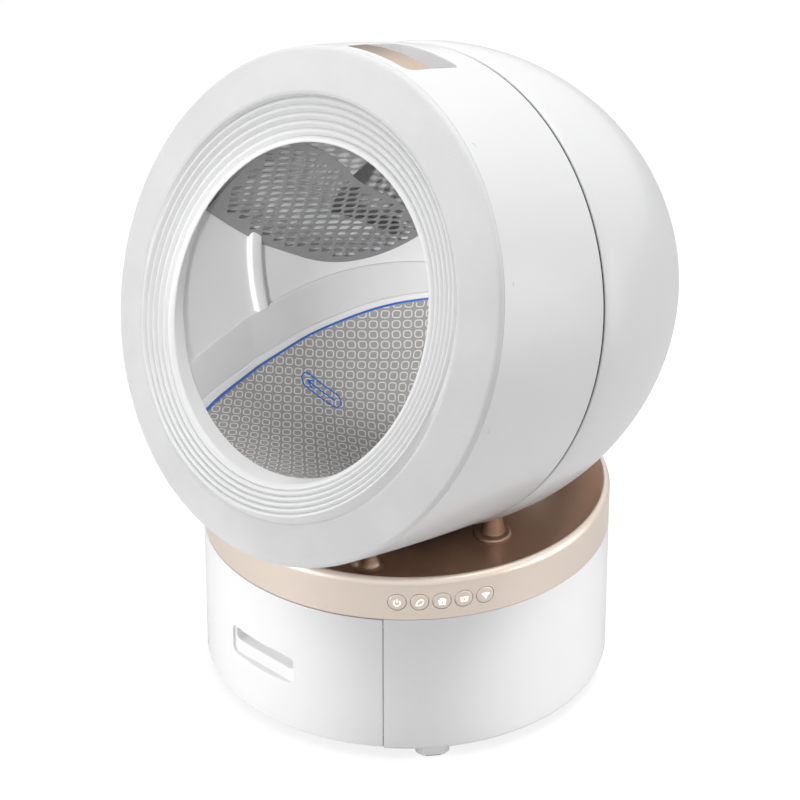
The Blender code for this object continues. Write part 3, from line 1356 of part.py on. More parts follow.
def spoke_windows():
    """The openings between the gear's spokes."""
    windows = []
    inner = GEAR_HUB_RADIUS
    outer = PITCH_RADIUS - GEAR_MODULE * TOOTH_ROOT_SHARE - GEAR_RIM
    for index in range(GEAR_SPOKES):
        first = 360 * index / GEAR_SPOKES
        last = first + 360 / GEAR_SPOKES
        outer_cut = math.degrees(math.asin(GEAR_SPOKE_WIDTH / 2 / outer))
        inner_cut = math.degrees(math.asin(GEAR_SPOKE_WIDTH / 2 / inner))
        outer_arc = arc(outer, first + outer_cut, last - outer_cut, 6)
        windows.append(outer_arc + arc(inner, last - inner_cut, first + inner_cut, 3))
    return windows


def pinion_place():
    return Matrix.Translation((0, GEAR_CENTERS, 0))


def make_gears():
    bore = circle(HUB_RADIUS + GAP, SMALL_STEPS)
    wheel = [gear_outline(GEAR_TEETH), bore, *spoke_windows()]
    extruded("drum_gear", wheel, GEAR_BACK, GEAR_FRONT, "gear_nylon", DRUM)
    rod("hub_shaft", HUB_RADIUS, GEAR_FRONT - HUB_LENGTH, GEAR_FRONT, "steel", DRUM)
    at = pinion_place()
    outline = gear_outline(PINION_TEETH)
    pinion = extruded("pinion", [outline], GEAR_BACK, GEAR_FRONT, "gear_nylon", DRUM, at)
    back = GEAR_BACK - BRACKET_GAP - PINION_SHAFT_LENGTH
    cut(pinion, rod("pinion_shaft", PINION_SHAFT, back, GEAR_BACK + GAP, None, DRUM, at), "UNION")


def bracket_outline():
    """A cross with chamfered ends, one arm to each boss of the dome."""
    points = []
    length = arm_length()
    half = BRACKET_ARM_HALF
    inner = BRACKET_HUB
    arm = [
        (-half, inner),
        (-half, length - half / 2),
        (-half / 2, length),
        (half / 2, length),
        (half, length - half / 2),
        (half, inner),
    ]
    for index in range(4):
        turn = math.radians(45 + 90 * index)
        points += [tuple(Matrix.Rotation(-turn, 2) @ Vector(corner)) for corner in arm]
    return points


def make_bracket():
    seat = BEARING_RADIUS + GAP
    cross = bracket_outline()
    bracket = extruded("motor_bracket", [cross], BRACKET_BACK, BRACKET_FRONT, "steel", DRUM)
    tongue = rounded(GEARBOX_HALF_WIDTH, 0, GEAR_CENTERS + GEARBOX_HALF_WIDTH, GEARBOX_CORNER)
    cut(bracket, extruded("tongue", [tongue], BRACKET_BACK, BRACKET_FRONT, parent=DRUM), "UNION")
    back = BRACKET_FRONT - BEARING_LENGTH - BEARING_SEAT_WALL
    front = BRACKET_FRONT
    cut(bracket, rod("bearing_boss", seat + BEARING_SEAT_WALL, back, front, None, DRUM), "UNION")
    cut(bracket, rod("bearing_hole", seat, back + BEARING_SEAT_WALL, front + OVERRUN, None, DRUM))
    cut(bracket, rod("shaft_hole", HUB_RADIUS + GAP * 2, back - OVERRUN, front, None, DRUM))
    way = PINION_SHAFT + GAP
    cut(bracket, rod("pinion_way", way, back - OVERRUN, front + OVERRUN, None, DRUM, pinion_place()))


def make_drive():
    make_bracket()
    front = BRACKET_FRONT - GAP
    back = front - BEARING_LENGTH + GAP * 2
    inner = (HUB_RADIUS + GAP) / math.cos(math.pi / SMALL_STEPS)
    bearing = [(BEARING_RADIUS, front), (BEARING_RADIUS, back), (inner, back), (inner, front)]
    turned("hub_bearing", bearing, "bronze", DRUM, SMALL_STEPS)
    half = GEARBOX_HALF_WIDTH
    box_front = BRACKET_BACK - GAP
    outline = rounded(half, GEAR_CENTERS - half, GEAR_CENTERS + half, GEARBOX_CORNER)
    gearbox = extruded("gearbox", [outline], box_front - GEARBOX_DEPTH, box_front, "dark_grey", DRUM)
    end = GEAR_BACK - BRACKET_GAP - PINION_SHAFT_LENGTH - GAP
    at = pinion_place()
    cut(gearbox, rod("gearbox_bore", PINION_SHAFT + GAP, end, box_front + OVERRUN, None, DRUM, at))
    turn = Matrix.Rotation(math.radians(90), 4, "X")
    turn.translation = (0, GEAR_CENTERS - half - GAP, box_front - MOTOR_RADIUS - GAP)
    neck = MOTOR_RADIUS * MOTOR_NECK_SHARE
    rim = MOTOR_LENGTH - GEARBOX_CORNER / 2
    profile = [
        (0, MOTOR_LENGTH),
        (neck, MOTOR_LENGTH),
        (neck, rim),
        (MOTOR_RADIUS - GEARBOX_CORNER / 2, rim),
        (MOTOR_RADIUS, rim - GEARBOX_CORNER / 2),
        (MOTOR_RADIUS, 0),
        (0, 0),
    ]
    turned("drive_motor", profile, "steel", DRUM, SMALL_STEPS, closed=False, matrix=turn)


def make_rollers():
    room = ring_block("ring_room", SHELL_WALL + GAP)
    half = ROLLER_WIDTH / 2
    reach = half + CHEEK_GAP + CHEEK_THICKNESS
    bore = AXLE_RADIUS + AXLE_PLAY
    profile = [
        (ROLLER_RADIUS, half - ROLLER_EDGE),
        (ROLLER_RADIUS, ROLLER_EDGE - half),
        (ROLLER_RADIUS - ROLLER_EDGE, -half),
        (bore, -half),
        (bore, half),
        (ROLLER_RADIUS - ROLLER_EDGE, half),
    ]
    for hand, angle in ROLLER_ANGLES.items():
        turn = spin(angle)
        at = turn @ Matrix.Translation((0, ROLLER_CIRCLE, ROLLER_REACH))
        turned(f"roller_{hand}", profile, "rubber_black", DRUM, POST_STEPS, matrix=at)
        rod(f"roller_axle_{hand}", AXLE_RADIUS, -reach, reach, "steel", DRUM, at)
        make_roller_bracket(hand, turn, at, reach, room)


def make_roller_bracket(hand, turn, at, reach, room):
    """A forked holder that follows the middle ring's inner wall."""
    low = (-BRACKET_BASE_HALF, BRACKET_BASE_INNER, ROLLER_REACH - reach)
    high = (BRACKET_BASE_HALF, COVER_SEAM_RADIUS, ROLLER_REACH + reach)
    holder = block(f"roller_bracket_{hand}", low, high, "dark_grey", DRUM, turn)
    sink = BRACKET_BASE / 2
    for side in (1, -1):
        near = ROLLER_REACH + side * (reach - CHEEK_THICKNESS)
        far = ROLLER_REACH + side * reach
        cheek_low = (-CHEEK_HALF_WIDTH, BRACKET_INNER, min(near, far))
        cheek_high = (CHEEK_HALF_WIDTH, BRACKET_BASE_INNER + sink, max(near, far))
        name = f"cheek_{hand}_{'front' if side > 0 else 'back'}"
        cut(holder, block(name, cheek_low, cheek_high, None, DRUM, turn), "UNION")
    cut(holder, rod(f"axle_way_{hand}", AXLE_RADIUS + AXLE_PLAY, -OVERRUN, OVERRUN, None, DRUM, at))
    cut(holder, room, "INTERSECT")


def shade_flat_faces_true():
    """Weights the shading of every cut piece by its faces' sizes, so that flat faces look flat."""
    for obj in PARTS.objects:
        if obj.type == "MESH" and obj.modifiers:
            weighted = obj.modifiers.new("shading", "WEIGHTED_NORMAL")
            weighted.keep_sharp = True


def main():
    make_floor_plate()
    make_skirt()
    make_feet()
    make_deck()
    make_buttons()
    make_drawer()
    make_runners()
    make_main_board()
    make_inlet()
    make_posts()
    make_chute()
    make_dome()
    make_seam_gasket()
    make_middle_ring()
    make_grip_strip()
    make_front_cover()
    make_entrance_ring()
    make_drum_shell()
    make_lining()
    make_sieve()
    make_gears()
    make_drive()
    make_rollers()
    shade_flat_faces_true()


main()
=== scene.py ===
import math

import bmesh
import bpy
from mathutils import Matrix, Vector


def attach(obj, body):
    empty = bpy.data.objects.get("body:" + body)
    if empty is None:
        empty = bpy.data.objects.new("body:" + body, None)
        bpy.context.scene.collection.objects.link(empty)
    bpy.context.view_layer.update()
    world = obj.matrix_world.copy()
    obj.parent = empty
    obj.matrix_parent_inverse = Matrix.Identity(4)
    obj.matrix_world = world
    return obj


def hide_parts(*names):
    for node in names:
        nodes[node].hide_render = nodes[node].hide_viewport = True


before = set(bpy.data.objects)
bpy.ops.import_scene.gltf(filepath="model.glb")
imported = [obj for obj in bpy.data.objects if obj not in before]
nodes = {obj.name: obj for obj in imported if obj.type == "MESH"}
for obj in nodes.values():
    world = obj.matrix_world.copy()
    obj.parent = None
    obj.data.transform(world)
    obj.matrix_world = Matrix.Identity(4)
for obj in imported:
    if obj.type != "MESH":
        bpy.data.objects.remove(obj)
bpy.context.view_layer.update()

# The three places that everything is measured from, the same as in the part's source
base = Matrix.Translation((0, -0.031, 0))
globeCenter = (0, 0.0167, 0.4413)
globe = base @ Matrix.Translation(globeCenter) @ Matrix.Rotation(math.radians(77), 4, "X")
drumDrop = 0.0272
lean = math.radians(13)
drumCenter = (0, globeCenter[1] - drumDrop * math.sin(lean), globeCenter[2] - drumDrop * math.cos(lean))
drum = base @ Matrix.Translation(drumCenter) @ Matrix.Rotation(math.radians(66), 4, "X")
sidePlan = Matrix.Rotation(math.radians(-90), 4, "X")   # an outline in X and Z, raised along -Y
roundSteps = 288


# Small helpers for node trees

def addNode(tree, kind, inputs=None, **settings):
    node = tree.nodes.new(kind)
    for key, value in settings.items():
        setattr(node, key, value)
    for key, value in (inputs or {}).items():
        if isinstance(value, bpy.types.NodeSocket):
            tree.links.new(value, node.inputs[key])
        else:
            node.inputs[key].default_value = value
    return node


def addMath(tree, operation, first, second=0.0):
    return addNode(tree, "ShaderNodeMath", {0: first, 1: second}, operation=operation).outputs[0]


def addVector(tree, operation, first, second):
    return addNode(tree, "ShaderNodeVectorMath", {0: first, 1: second}, operation=operation)


socketKinds = {"Vector": "NodeSocketVector", "Geometry": "NodeSocketGeometry",
               "Material": "NodeSocketMaterial",
               float: "NodeSocketFloat", int: "NodeSocketInt", tuple: "NodeSocketVector"}


def newTree(name, kind, inputs, outputs):
    # an input's kind follows from its label or else from its value
    tree = bpy.data.node_groups.new(name, kind)
    for label, value in inputs.items():
        socket = socketKinds.get(label) or socketKinds[type(value)]
        made = tree.interface.new_socket(name=label, in_out="INPUT", socket_type=socket)
        if value is not None:
            made.default_value = value
    for label in outputs:
        socket = socketKinds.get(label, "NodeSocketFloat")
        tree.interface.new_socket(name=label, in_out="OUTPUT", socket_type=socket)
    return tree, tree.nodes.new("NodeGroupInput").outputs, tree.nodes.new("NodeGroupOutput").inputs


def placeGroup(tree, group, inputs):
    return addNode(tree, "ShaderNodeGroup", inputs, node_tree=group).outputs


def mixColors(tree, factor, first, second):
    # each color is a socket or three numbers
    node = addNode(tree, "ShaderNodeMix", {"Factor": factor}, data_type="RGBA")
    for socket, color in ((node.inputs[6], first), (node.inputs[7], second)):
        if isinstance(color, bpy.types.NodeSocket):
            tree.links.new(color, socket)
        else:
            socket.default_value = (*color, 1)
    return node.outputs[2]


def newMaterial(name):
    material = bpy.data.materials.new(name)
    material.use_nodes = True
    tree = material.node_tree
    place = addNode(tree, "ShaderNodeTexCoord").outputs["Object"]
    return material, tree, tree.nodes["Principled BSDF"], place


def noise(tree, place, scale, detail):
    node = addNode(tree, "ShaderNodeTexNoise", {"Vector": place, "Scale": scale, "Detail": detail})
    return node.outputs["Fac"]


def pieceTree(name, inputs):
    # a geometry tree that gets the named inputs between its geometry and its material
    return newTree(name, "GeometryNodeTree", {"Geometry": None, **inputs, "Material": None}, ["Geometry"])


def attribute(tree, name, kind="FLOAT"):
    return addNode(tree, "GeometryNodeInputNamedAttribute", {"Name": name}, data_type=kind).outputs[0]


def joined(tree, *parts):
    node = addNode(tree, "GeometryNodeJoinGeometry")
    for part in parts:
        tree.links.new(part, node.inputs[0])
    return node.outputs[0]


def roundedBox(tree, width, height, radius, count):
    box = addNode(tree, "GeometryNodeCurvePrimitiveQuadrilateral", {"Width": width, "Height": height})
    return addNode(tree, "GeometryNodeFilletCurve", {
        "Curve": box.outputs[0], "Radius": radius, "Count": count,
    }, mode="POLY").outputs[0]


def onPoints(tree, points, instance, **more):
    laid = addNode(tree, "GeometryNodeInstanceOnPoints", {"Points": points, "Instance": instance, **more})
    return addNode(tree, "GeometryNodeRealizeInstances", {"Geometry": laid.outputs[0]}).outputs[0]


def endTree(tree, geometry, into, out):
    done = addNode(tree, "GeometryNodeSetMaterial", {"Geometry": geometry, "Material": into["Material"]})
    tree.links.new(done.outputs[0], out["Geometry"])
    return tree


# Effects that several finishes share

def effectTree(name, inputs, outputs=("Height", "Mask")):
    return newTree(name, "ShaderNodeTree", {"Vector": None, **inputs}, outputs)


def mouldedSkinGroup():
    tree, into, out = effectTree("mouldedSkin", {"Grain": 900.0, "Cloud": 14.0})
    tree.links.new(noise(tree, into["Vector"], into["Grain"], 3.0), out["Height"])
    tree.links.new(noise(tree, into["Vector"], into["Cloud"], 4.0), out["Mask"])
    return tree


def settledDustGroup():
    tree, into, out = effectTree("settledDust", {"Amount": 0.1}, ["Mask"])
    normal = addNode(tree, "ShaderNodeNewGeometry").outputs["Normal"]
    height = addNode(tree, "ShaderNodeSeparateXYZ", {0: normal}).outputs["Z"]
    upward = addNode(tree, "ShaderNodeMapRange", {"Value": height, "From Min": 0.2, "From Max": 1.0})
    spread = addMath(tree, "MULTIPLY", upward.outputs[0], noise(tree, into["Vector"], 220.0, 5.0))
    tree.links.new(addMath(tree, "MULTIPLY", spread, into["Amount"]), out["Mask"])
    return tree


def brushedGroup():
    tree, into, out = effectTree("brushedLines", {"Along": 12.0, "Across": 1600.0})
    scale = addNode(tree, "ShaderNodeCombineXYZ", {0: into["Along"], 1: into["Across"], 2: into["Across"]})
    stretched = addVector(tree, "MULTIPLY", into["Vector"], scale.outputs[0])
    lines = noise(tree, stretched.outputs[0], 1.0, 4.0)
    for label in ("Height", "Mask"):
        tree.links.new(lines, out[label])
    return tree


def flakesGroup():
    tree, into, out = effectTree("metalFlakes", {"Size": 2400.0})
    cells = addNode(tree, "ShaderNodeTexVoronoi", {"Vector": into["Vector"], "Scale": into["Size"]})
    glint = addNode(tree, "ShaderNodeSeparateXYZ", {0: cells.outputs["Color"]})
    tree.links.new(cells.outputs["Distance"], out["Height"])
    tree.links.new(glint.outputs["X"], out["Mask"])
    return tree


# Each skin with the input that takes its grain
skins = {
    "moulded": (mouldedSkinGroup(), "Grain"),
    "brushed": (brushedGroup(), "Across"),
    "flakes": (flakesGroup(), "Size"),
}
settledDust = settledDustGroup()
dustAmount = 0.06
dustColor = (0.62, 0.61, 0.59)
grainHeight = 0.0004


# Finishes. grain is how fine the skin is, depth how strong its bump is, shade how much darker its clouds get,
# deep a band of painted shade
finishes = {
    "whiteGloss": dict(
        color=(0.86, 0.86, 0.865), roughness=0.34, spread=0.03,
        grain=420, depth=0.015, shade=0.985, coat=0.25
    ),
    "whiteFine": dict(
        color=(0.84, 0.84, 0.845), roughness=0.55, spread=0.08, grain=620, depth=0.9, shade=0.84
    ),
    "whiteSatin": dict(
        color=(0.85, 0.85, 0.855), roughness=0.38, spread=0.06, grain=700, depth=0.05, shade=0.97
    ),
    "champagne": dict(
        color=(0.87, 0.755, 0.66), roughness=0.36, spread=0.05,
        grain=2400, depth=0.05, shade=0.93, metallic=0.88, skin="flakes", coat=0.2,
        # painted shade: the dish under the globe is coloured darker than the rim
        deep=dict(color=(0.74, 0.555, 0.44), axis="radius", low=0.2045, high=0.2165)
    ),
    # painted shade: a darker copy of champagne for the posts that stand under the globe
    "champagneShaded": dict(
        color=(0.62, 0.47, 0.375), roughness=0.36, spread=0.05,
        grain=2400, depth=0.05, shade=0.90, metallic=0.88, skin="flakes", coat=0.2
    ),
    "champagneBrushed": dict(
        color=(0.66, 0.52, 0.42), roughness=0.42, spread=0.10,
        grain=1500, depth=0.12, shade=0.86, metallic=1.0, skin="brushed",
        # painted shade: the strip is coloured dark brown towards its left end
        deep=dict(color=(0.15, 0.095, 0.065), axis="across", low=-0.062, high=0.040)
    ),
    "lightGrey": dict(
        color=(0.84, 0.84, 0.845), roughness=0.42, spread=0.08, grain=900, depth=0.05, shade=0.95
    ),
    "ribWhite": dict(
        color=(0.93, 0.93, 0.93), roughness=0.35, spread=0.05, grain=900, depth=0.04, shade=0.97
    ),
    "bankGrey": dict(
        color=(0.77, 0.77, 0.775), roughness=0.50, spread=0.08, grain=1100, depth=0.08, shade=0.93
    ),
    "sieveGrey": dict(
        color=(0.30, 0.30, 0.305), roughness=0.42, spread=0.08, grain=1300, depth=0.08, shade=0.92
    ),
    "matGrey": dict(
        color=(0.40, 0.39, 0.38), roughness=0.85, spread=0.08, grain=2600, depth=0.5, shade=0.86
    ),
    "matLine": dict(
        color=(0.80, 0.79, 0.78), roughness=0.65, spread=0.06, grain=2600, depth=0.2, shade=0.93
    ),
    "printBlue": dict(
        color=(0.006, 0.14, 0.60), roughness=0.45, spread=0.05, grain=1800, depth=0.1, shade=0.92
    ),
    "darkPlastic": dict(
        color=(0.045, 0.045, 0.05), roughness=0.48, spread=0.12, grain=1400, depth=0.2, shade=0.75
    ),
    "rubber": dict(
        color=(0.018, 0.018, 0.019), roughness=0.75, spread=0.12, grain=1900, depth=0.3, shade=0.7
    ),
    "seamGrey": dict(
        color=(0.05, 0.05, 0.052), roughness=0.8, spread=0.1, grain=1500, depth=0.2, shade=0.8
    ),
    "steel": dict(
        color=(0.52, 0.52, 0.53), roughness=0.42, spread=0.12,
        grain=900, depth=0.12, shade=0.85, metallic=1.0, skin="brushed"
    ),
    "nylon": dict(
        color=(0.72, 0.71, 0.66), roughness=0.5, spread=0.1, grain=1000, depth=0.1, shade=0.92
    ),
    "bronze": dict(
        color=(0.42, 0.27, 0.13), roughness=0.45, spread=0.15,
        grain=2200, depth=0.3, shade=0.75, metallic=1.0, skin="flakes"
    ),
    "boardGreen": dict(
        color=(0.02, 0.13, 0.06), roughness=0.42, spread=0.1,
        grain=240, depth=0.15, shade=0.6, skin="flakes", coat=0.3
    ),
}


def deepen(tree, place, paint, deep):
    # painted shade: a darker colour near the base's axis for the dish under the globe, and towards the left
    # for the grip's strip
    if deep["axis"] == "radius":
        flat = addVector(tree, "MULTIPLY", place, (1, 1, 0)).outputs[0]
        far = addVector(tree, "DISTANCE", flat, (0, -0.031, 0)).outputs["Value"]
    else:
        far = addNode(tree, "ShaderNodeSeparateXYZ", {0: place}).outputs["X"]
    mask = addNode(tree, "ShaderNodeMapRange", {
        "Value": far, "From Min": deep["low"], "From Max": deep["high"],
    }, interpolation_type="SMOOTHSTEP")
    return mixColors(tree, mask.outputs[0], deep["color"], paint)


def makeFinish(name, look):
    material, tree, shader, place = newMaterial(name)
    group, size = skins[look.get("skin", "moulded")]
    fine = placeGroup(tree, group, {"Vector": place, size: float(look["grain"])})
    dust = placeGroup(tree, settledDust, {"Vector": place, "Amount": dustAmount})
    color = Vector(look["color"])
    paint = mixColors(tree, fine["Mask"], color * look["shade"], color)
    if "deep" in look:
        paint = deepen(tree, place, paint, look["deep"])
    tree.links.new(mixColors(tree, dust["Mask"], paint, dustColor), shader.inputs["Base Color"])
    rough = addNode(tree, "ShaderNodeMapRange", {
        "Value": fine["Mask"], "To Min": look["roughness"] - look["spread"],
        "To Max": look["roughness"] + look["spread"],
    })
    tree.links.new(rough.outputs[0], shader.inputs["Roughness"])
    bump = addNode(tree, "ShaderNodeBump", {
        "Strength": look["depth"], "Distance": grainHeight, "Height": fine["Height"],
    })
    tree.links.new(bump.outputs[0], shader.inputs["Normal"])
    shader.inputs["Metallic"].default_value = look.get("metallic", 0.0)
    shader.inputs["Coat Weight"].default_value = look.get("coat", 0.0)
    shader.inputs["Coat Roughness"].default_value = 0.12
    return material


def makeGlow():
    material, tree, shader, place = newMaterial("signGlow")
    fine = placeGroup(tree, skins["moulded"][0], {"Vector": place, "Grain": 700.0, "Cloud": 120.0})
    tint = mixColors(tree, fine["Mask"], (0.85, 0.88, 0.90), (1.0, 1.0, 1.0))
    for label in ("Base Color", "Emission Color"):
        tree.links.new(tint, shader.inputs[label])
    shader.inputs["Emission Strength"].default_value = 1.2
    shader.inputs["Roughness"].default_value = 0.4
    return material


paints = {name: makeFinish(name, look) for name, look in finishes.items()}
paints["signGlow"] = makeGlow()
print("finishes made:", len(paints))


# Mesh helpers

def soften(corners, closed=True, steps=5):
    # each corner ends with its softness; the rest of it is the place
    made = []
    count = len(corners)
    for index, corner in enumerate(corners):
        here, soft = Vector(corner[:-1]), corner[-1]
        if not soft or (not closed and index in (0, count - 1)):
            made.append(here)
            continue
        before = Vector(corners[index - 1][:-1])
        after = Vector(corners[(index + 1) % count][:-1])
        back = math.hypot(before[0] - here[0], before[1] - here[1])
        ahead = math.hypot(after[0] - here[0], after[1] - here[1])
        first = here.lerp(before, min(soft / back, 0.49))
        last = here.lerp(after, min(soft / ahead, 0.49))
        for step in range(steps + 1):
            share = step / steps
            made.append(first.lerp(here, share).lerp(here.lerp(last, share), share))
    return made


def ringVerts(bm, section, steps=roundSteps):
    radius, reach, *rest = section
    rise, lean = rest if rest else (0.0, 0.0)
    slope = math.radians(lean)
    made = []
    for index in range(steps):
        angle = math.tau * index / steps
        up = radius * math.cos(angle)
        spot = (radius * math.sin(angle), rise + up * math.cos(slope), reach - up * math.sin(slope))
        made.append(bm.verts.new(spot))
    return made


def joinRings(bm, rings, around=True, closed=True, skip=None):
    pairs = list(zip(rings, rings[1:]))
    if closed:
        pairs.append((rings[-1], rings[0]))
    for row, (first, second) in enumerate(pairs):
        count = len(first)
        for column in range(count if around else count - 1):
            if skip and skip(row, column):
                continue
            after = (column + 1) % count
            bm.faces.new((first[column], first[after], second[after], second[column]))


def capped(bm, rings):
    joinRings(bm, rings, closed=False)
    bm.faces.new(rings[0])
    bm.faces.new(rings[-1])


def pieceFrom(name, bm, merge=0.0, turn=True):
    if merge:
        bmesh.ops.remove_doubles(bm, verts=bm.verts, dist=merge)
    if turn:
        bmesh.ops.recalc_face_normals(bm, faces=bm.faces)
    mesh = bpy.data.meshes.new(name)
    bm.to_mesh(mesh)
    bm.free()
    obj = bpy.data.objects.new(name, mesh)
    bpy.context.scene.collection.objects.link(obj)
    return obj


def turned(name, profile, steps=roundSteps, closed=False, merge=0.000001):
    # a profile of (radius, height) turned round Z
    bm = bmesh.new()
    joinRings(bm, [ringVerts(bm, spot[:2], steps) for spot in profile], closed=closed)
    return pieceFrom(name, bm, merge)


def lofted(name, sections, steps=roundSteps):
    bm = bmesh.new()
    joinRings(bm, [ringVerts(bm, spot, steps) for spot in sections])
    return pieceFrom(name, bm)


def evaluated(obj):
    graph = bpy.context.evaluated_depsgraph_get()
    mesh = bpy.data.meshes.new_from_object(obj.evaluated_get(graph))
    old = obj.data
    obj.modifiers.clear()
    obj.data = mesh
    bpy.data.meshes.remove(old)
    return obj


def carve(obj, cutter, operation="DIFFERENCE", keep=False):
    modifier = obj.modifiers.new("carve", "BOOLEAN")
    modifier.operation = operation
    modifier.solver = "EXACT"
    modifier.object = cutter
    evaluated(obj)
    if not keep:
        bpy.data.objects.remove(cutter, do_unlink=True)
    return obj


def plate(name, loops, low, high, edge=0.0, matrix=None):
    # flat outlines, the first outside and the rest holes, raised from low to high with soft edges
    curve = bpy.data.curves.new(name, "CURVE")
    curve.dimensions = "2D"
    curve.fill_mode = "BOTH"
    curve.extrude = (high - low) / 2 - edge
    curve.bevel_depth = edge
    curve.offset = -edge
    curve.bevel_resolution = 2
    for loop in loops:
        spline = curve.splines.new("POLY")
        spline.points.add(len(loop) - 1)
        for point, (x, y) in zip(spline.points, loop):
            point.co = (x, y, 0, 1)
        spline.use_cyclic_u = True
    helper = bpy.data.objects.new(name + "Curve", curve)
    bpy.context.scene.collection.objects.link(helper)
    graph = bpy.context.evaluated_depsgraph_get()
    mesh = bpy.data.meshes.new_from_object(helper.evaluated_get(graph))
    bpy.data.objects.remove(helper, do_unlink=True)
    bm = bmesh.new()
    bm.from_mesh(mesh)
    bmesh.ops.translate(bm, verts=bm.verts, vec=(0, 0, (low + high) / 2))
    obj = pieceFrom(name, bm, 0.000002)
    if matrix:
        obj.data.transform(matrix)
    return obj


def roundBox(halfX, lowY, highY, radius, steps=8):
    points = []
    for side, end, start in ((1, 1, 0), (-1, 1, 90), (-1, -1, 180), (1, -1, 270)):
        centerX = side * (halfX - radius)
        centerY = highY - radius if end > 0 else lowY + radius
        for index in range(steps + 1):
            angle = math.radians(start + 90 * index / steps)
            points.append((centerX + radius * math.cos(angle), centerY + radius * math.sin(angle)))
    return points


def arcPoints(radius, first, last, steps):
    angles = [math.radians(first + (last - first) * index / steps) for index in range(steps + 1)]
    return [(radius * math.sin(angle), -radius * math.cos(angle)) for angle in angles]


def windowBorder(grid, rowLow, rowHigh, columnLow, columnHigh):
    count = len(grid[0])
    border = [grid[rowLow][c % count] for c in range(columnLow, columnHigh + 1)]
    border += [grid[r][columnHigh % count] for r in range(rowLow + 1, rowHigh + 1)]
    border += [grid[rowHigh][c % count] for c in range(columnHigh - 1, columnLow - 1, -1)]
    border += [grid[r][columnLow % count] for r in range(rowHigh - 1, rowLow, -1)]
    return border


def ontoRounded(u, v, box, corner, inset):
    # the nearest place on a rounded rectangle that is drawn in by inset
    centerU = min(max(u, box[0] + corner), box[1] - corner)
    centerV = min(max(v, box[2] + corner), box[3] - corner)
    du, dv = u - centerU, v - centerV
    length = math.hypot(du, dv)
    return centerU + du * (corner - inset) / length, centerV + dv * (corner - inset) / length


def nestLoops(bm, border, flat, levels, cap=True):
    # goes from a border inwards, one loop a level; a level turns the border's flat places into points
    last = border
    for level in levels:
        loop = [bm.verts.new(level(*spot)) for spot in flat]
        joinRings(bm, [last, loop], closed=False)
        last = loop
    if cap:
        bm.faces.new(last)
    return last


def flatOf(border):
    return [(vert.co.x, vert.co.z) for vert in border]


def quarterRound(steps, first=0):
    # sine and cosine along a quarter turn
    angles = [math.pi / 2 * step / steps for step in range(first, steps + 1)]
    return [(math.sin(angle), math.cos(angle)) for angle in angles]


def flatLevel(box, corner, inset, y):
    def level(u, v):
        x, z = ontoRounded(u, v, box, corner, inset)
        return x, y, z
    return level


def mouthLevels(box, corner, edge, skin):
    # over a skin to a rounded mouth and round its soft edge; skin takes x, z and how far it is sunk
    def across(share):
        def level(u, v):
            x, z = ontoRounded(u, v, box, corner, -edge)
            return skin(u + (x - u) * share, v + (z - v) * share, 0.0)
        return level

    def around(sine, cosine):
        return lambda u, v: skin(*ontoRounded(u, v, box, corner, edge * (sine - 1)), edge * (1 - cosine))

    return [across(share) for share in (0.35, 0.7, 1.0)] + [around(*turn) for turn in quarterRound(5, 1)]


def lastHeld(low, high, test, steps):
    # the last place between low and high where the test still holds
    for _ in range(steps):
        middle = (low + high) / 2
        if test(middle):
            low = middle
        else:
            high = middle
    return low


def dress(obj, paint, body, slot, *replaced, matrix=None, angle=32.0):
    if matrix:
        obj.data.transform(matrix)
    mesh = obj.data
    mesh.materials.clear()
    mesh.materials.append(paints[paint])
    for polygon in mesh.polygons:
        polygon.use_smooth = True
        polygon.material_index = 0
    mesh.set_sharp_from_angle(angle=math.radians(angle))
    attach(obj, body)
    if replaced:
        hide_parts(*replaced)
    return obj


# Round base and its drawer
baseLook = dict(radius=0.2205, draft=0.001, foot=0.013, seam=0.1745, wall=0.003, chamfer=0.003,
                drawerAngle=38.7, sideGap=0.0007, edge=0.0010)


def makeSkirt():
    look = baseLook
    radius, wall, seam = look["radius"], look["wall"], look["seam"] - 0.0003
    low = radius + look["draft"]
    profile = soften([
        (radius, seam, look["edge"]),
        (low, look["foot"] + look["chamfer"], 0.001),
        (low - look["chamfer"] / 2, look["foot"], 0.0008),
        (low - wall, look["foot"], 0.0005),
        (radius - wall, seam - wall, 0.002),
        (radius - 0.013, seam - wall, 0.0008),
        (radius - 0.013, seam, 0.0008),
    ])
    bm = bmesh.new()
    rings = []
    start, stop = look["drawerAngle"], 360 - look["drawerAngle"]
    for index in range(233):
        angle = math.radians(start + (stop - start) * index / 232)
        rings.append([bm.verts.new((r * math.sin(angle), -r * math.cos(angle), h)) for r, h in profile])
    capped(bm, rings)
    skirt = pieceFrom("skirt_shell", bm)
    hole = turned("inletHole", [(0, -0.02), (0.0063, -0.02), (0.0063, 0.02), (0, 0.02)], 48)
    turn = Matrix.Rotation(math.radians(90), 4, "X")
    turn.translation = (0, radius, inletLook["level"])
    hole.data.transform(turn)
    carve(skirt, hole)
    dress(skirt, "whiteGloss", "housing", "white_gloss", "base_skirt", matrix=base)


pullLook = dict(half=0.0465, low=0.071, high=0.105, corner=0.007, step=0.008, depth=0.021, shelf=0.55,
                edge=0.0014, wall=0.003)


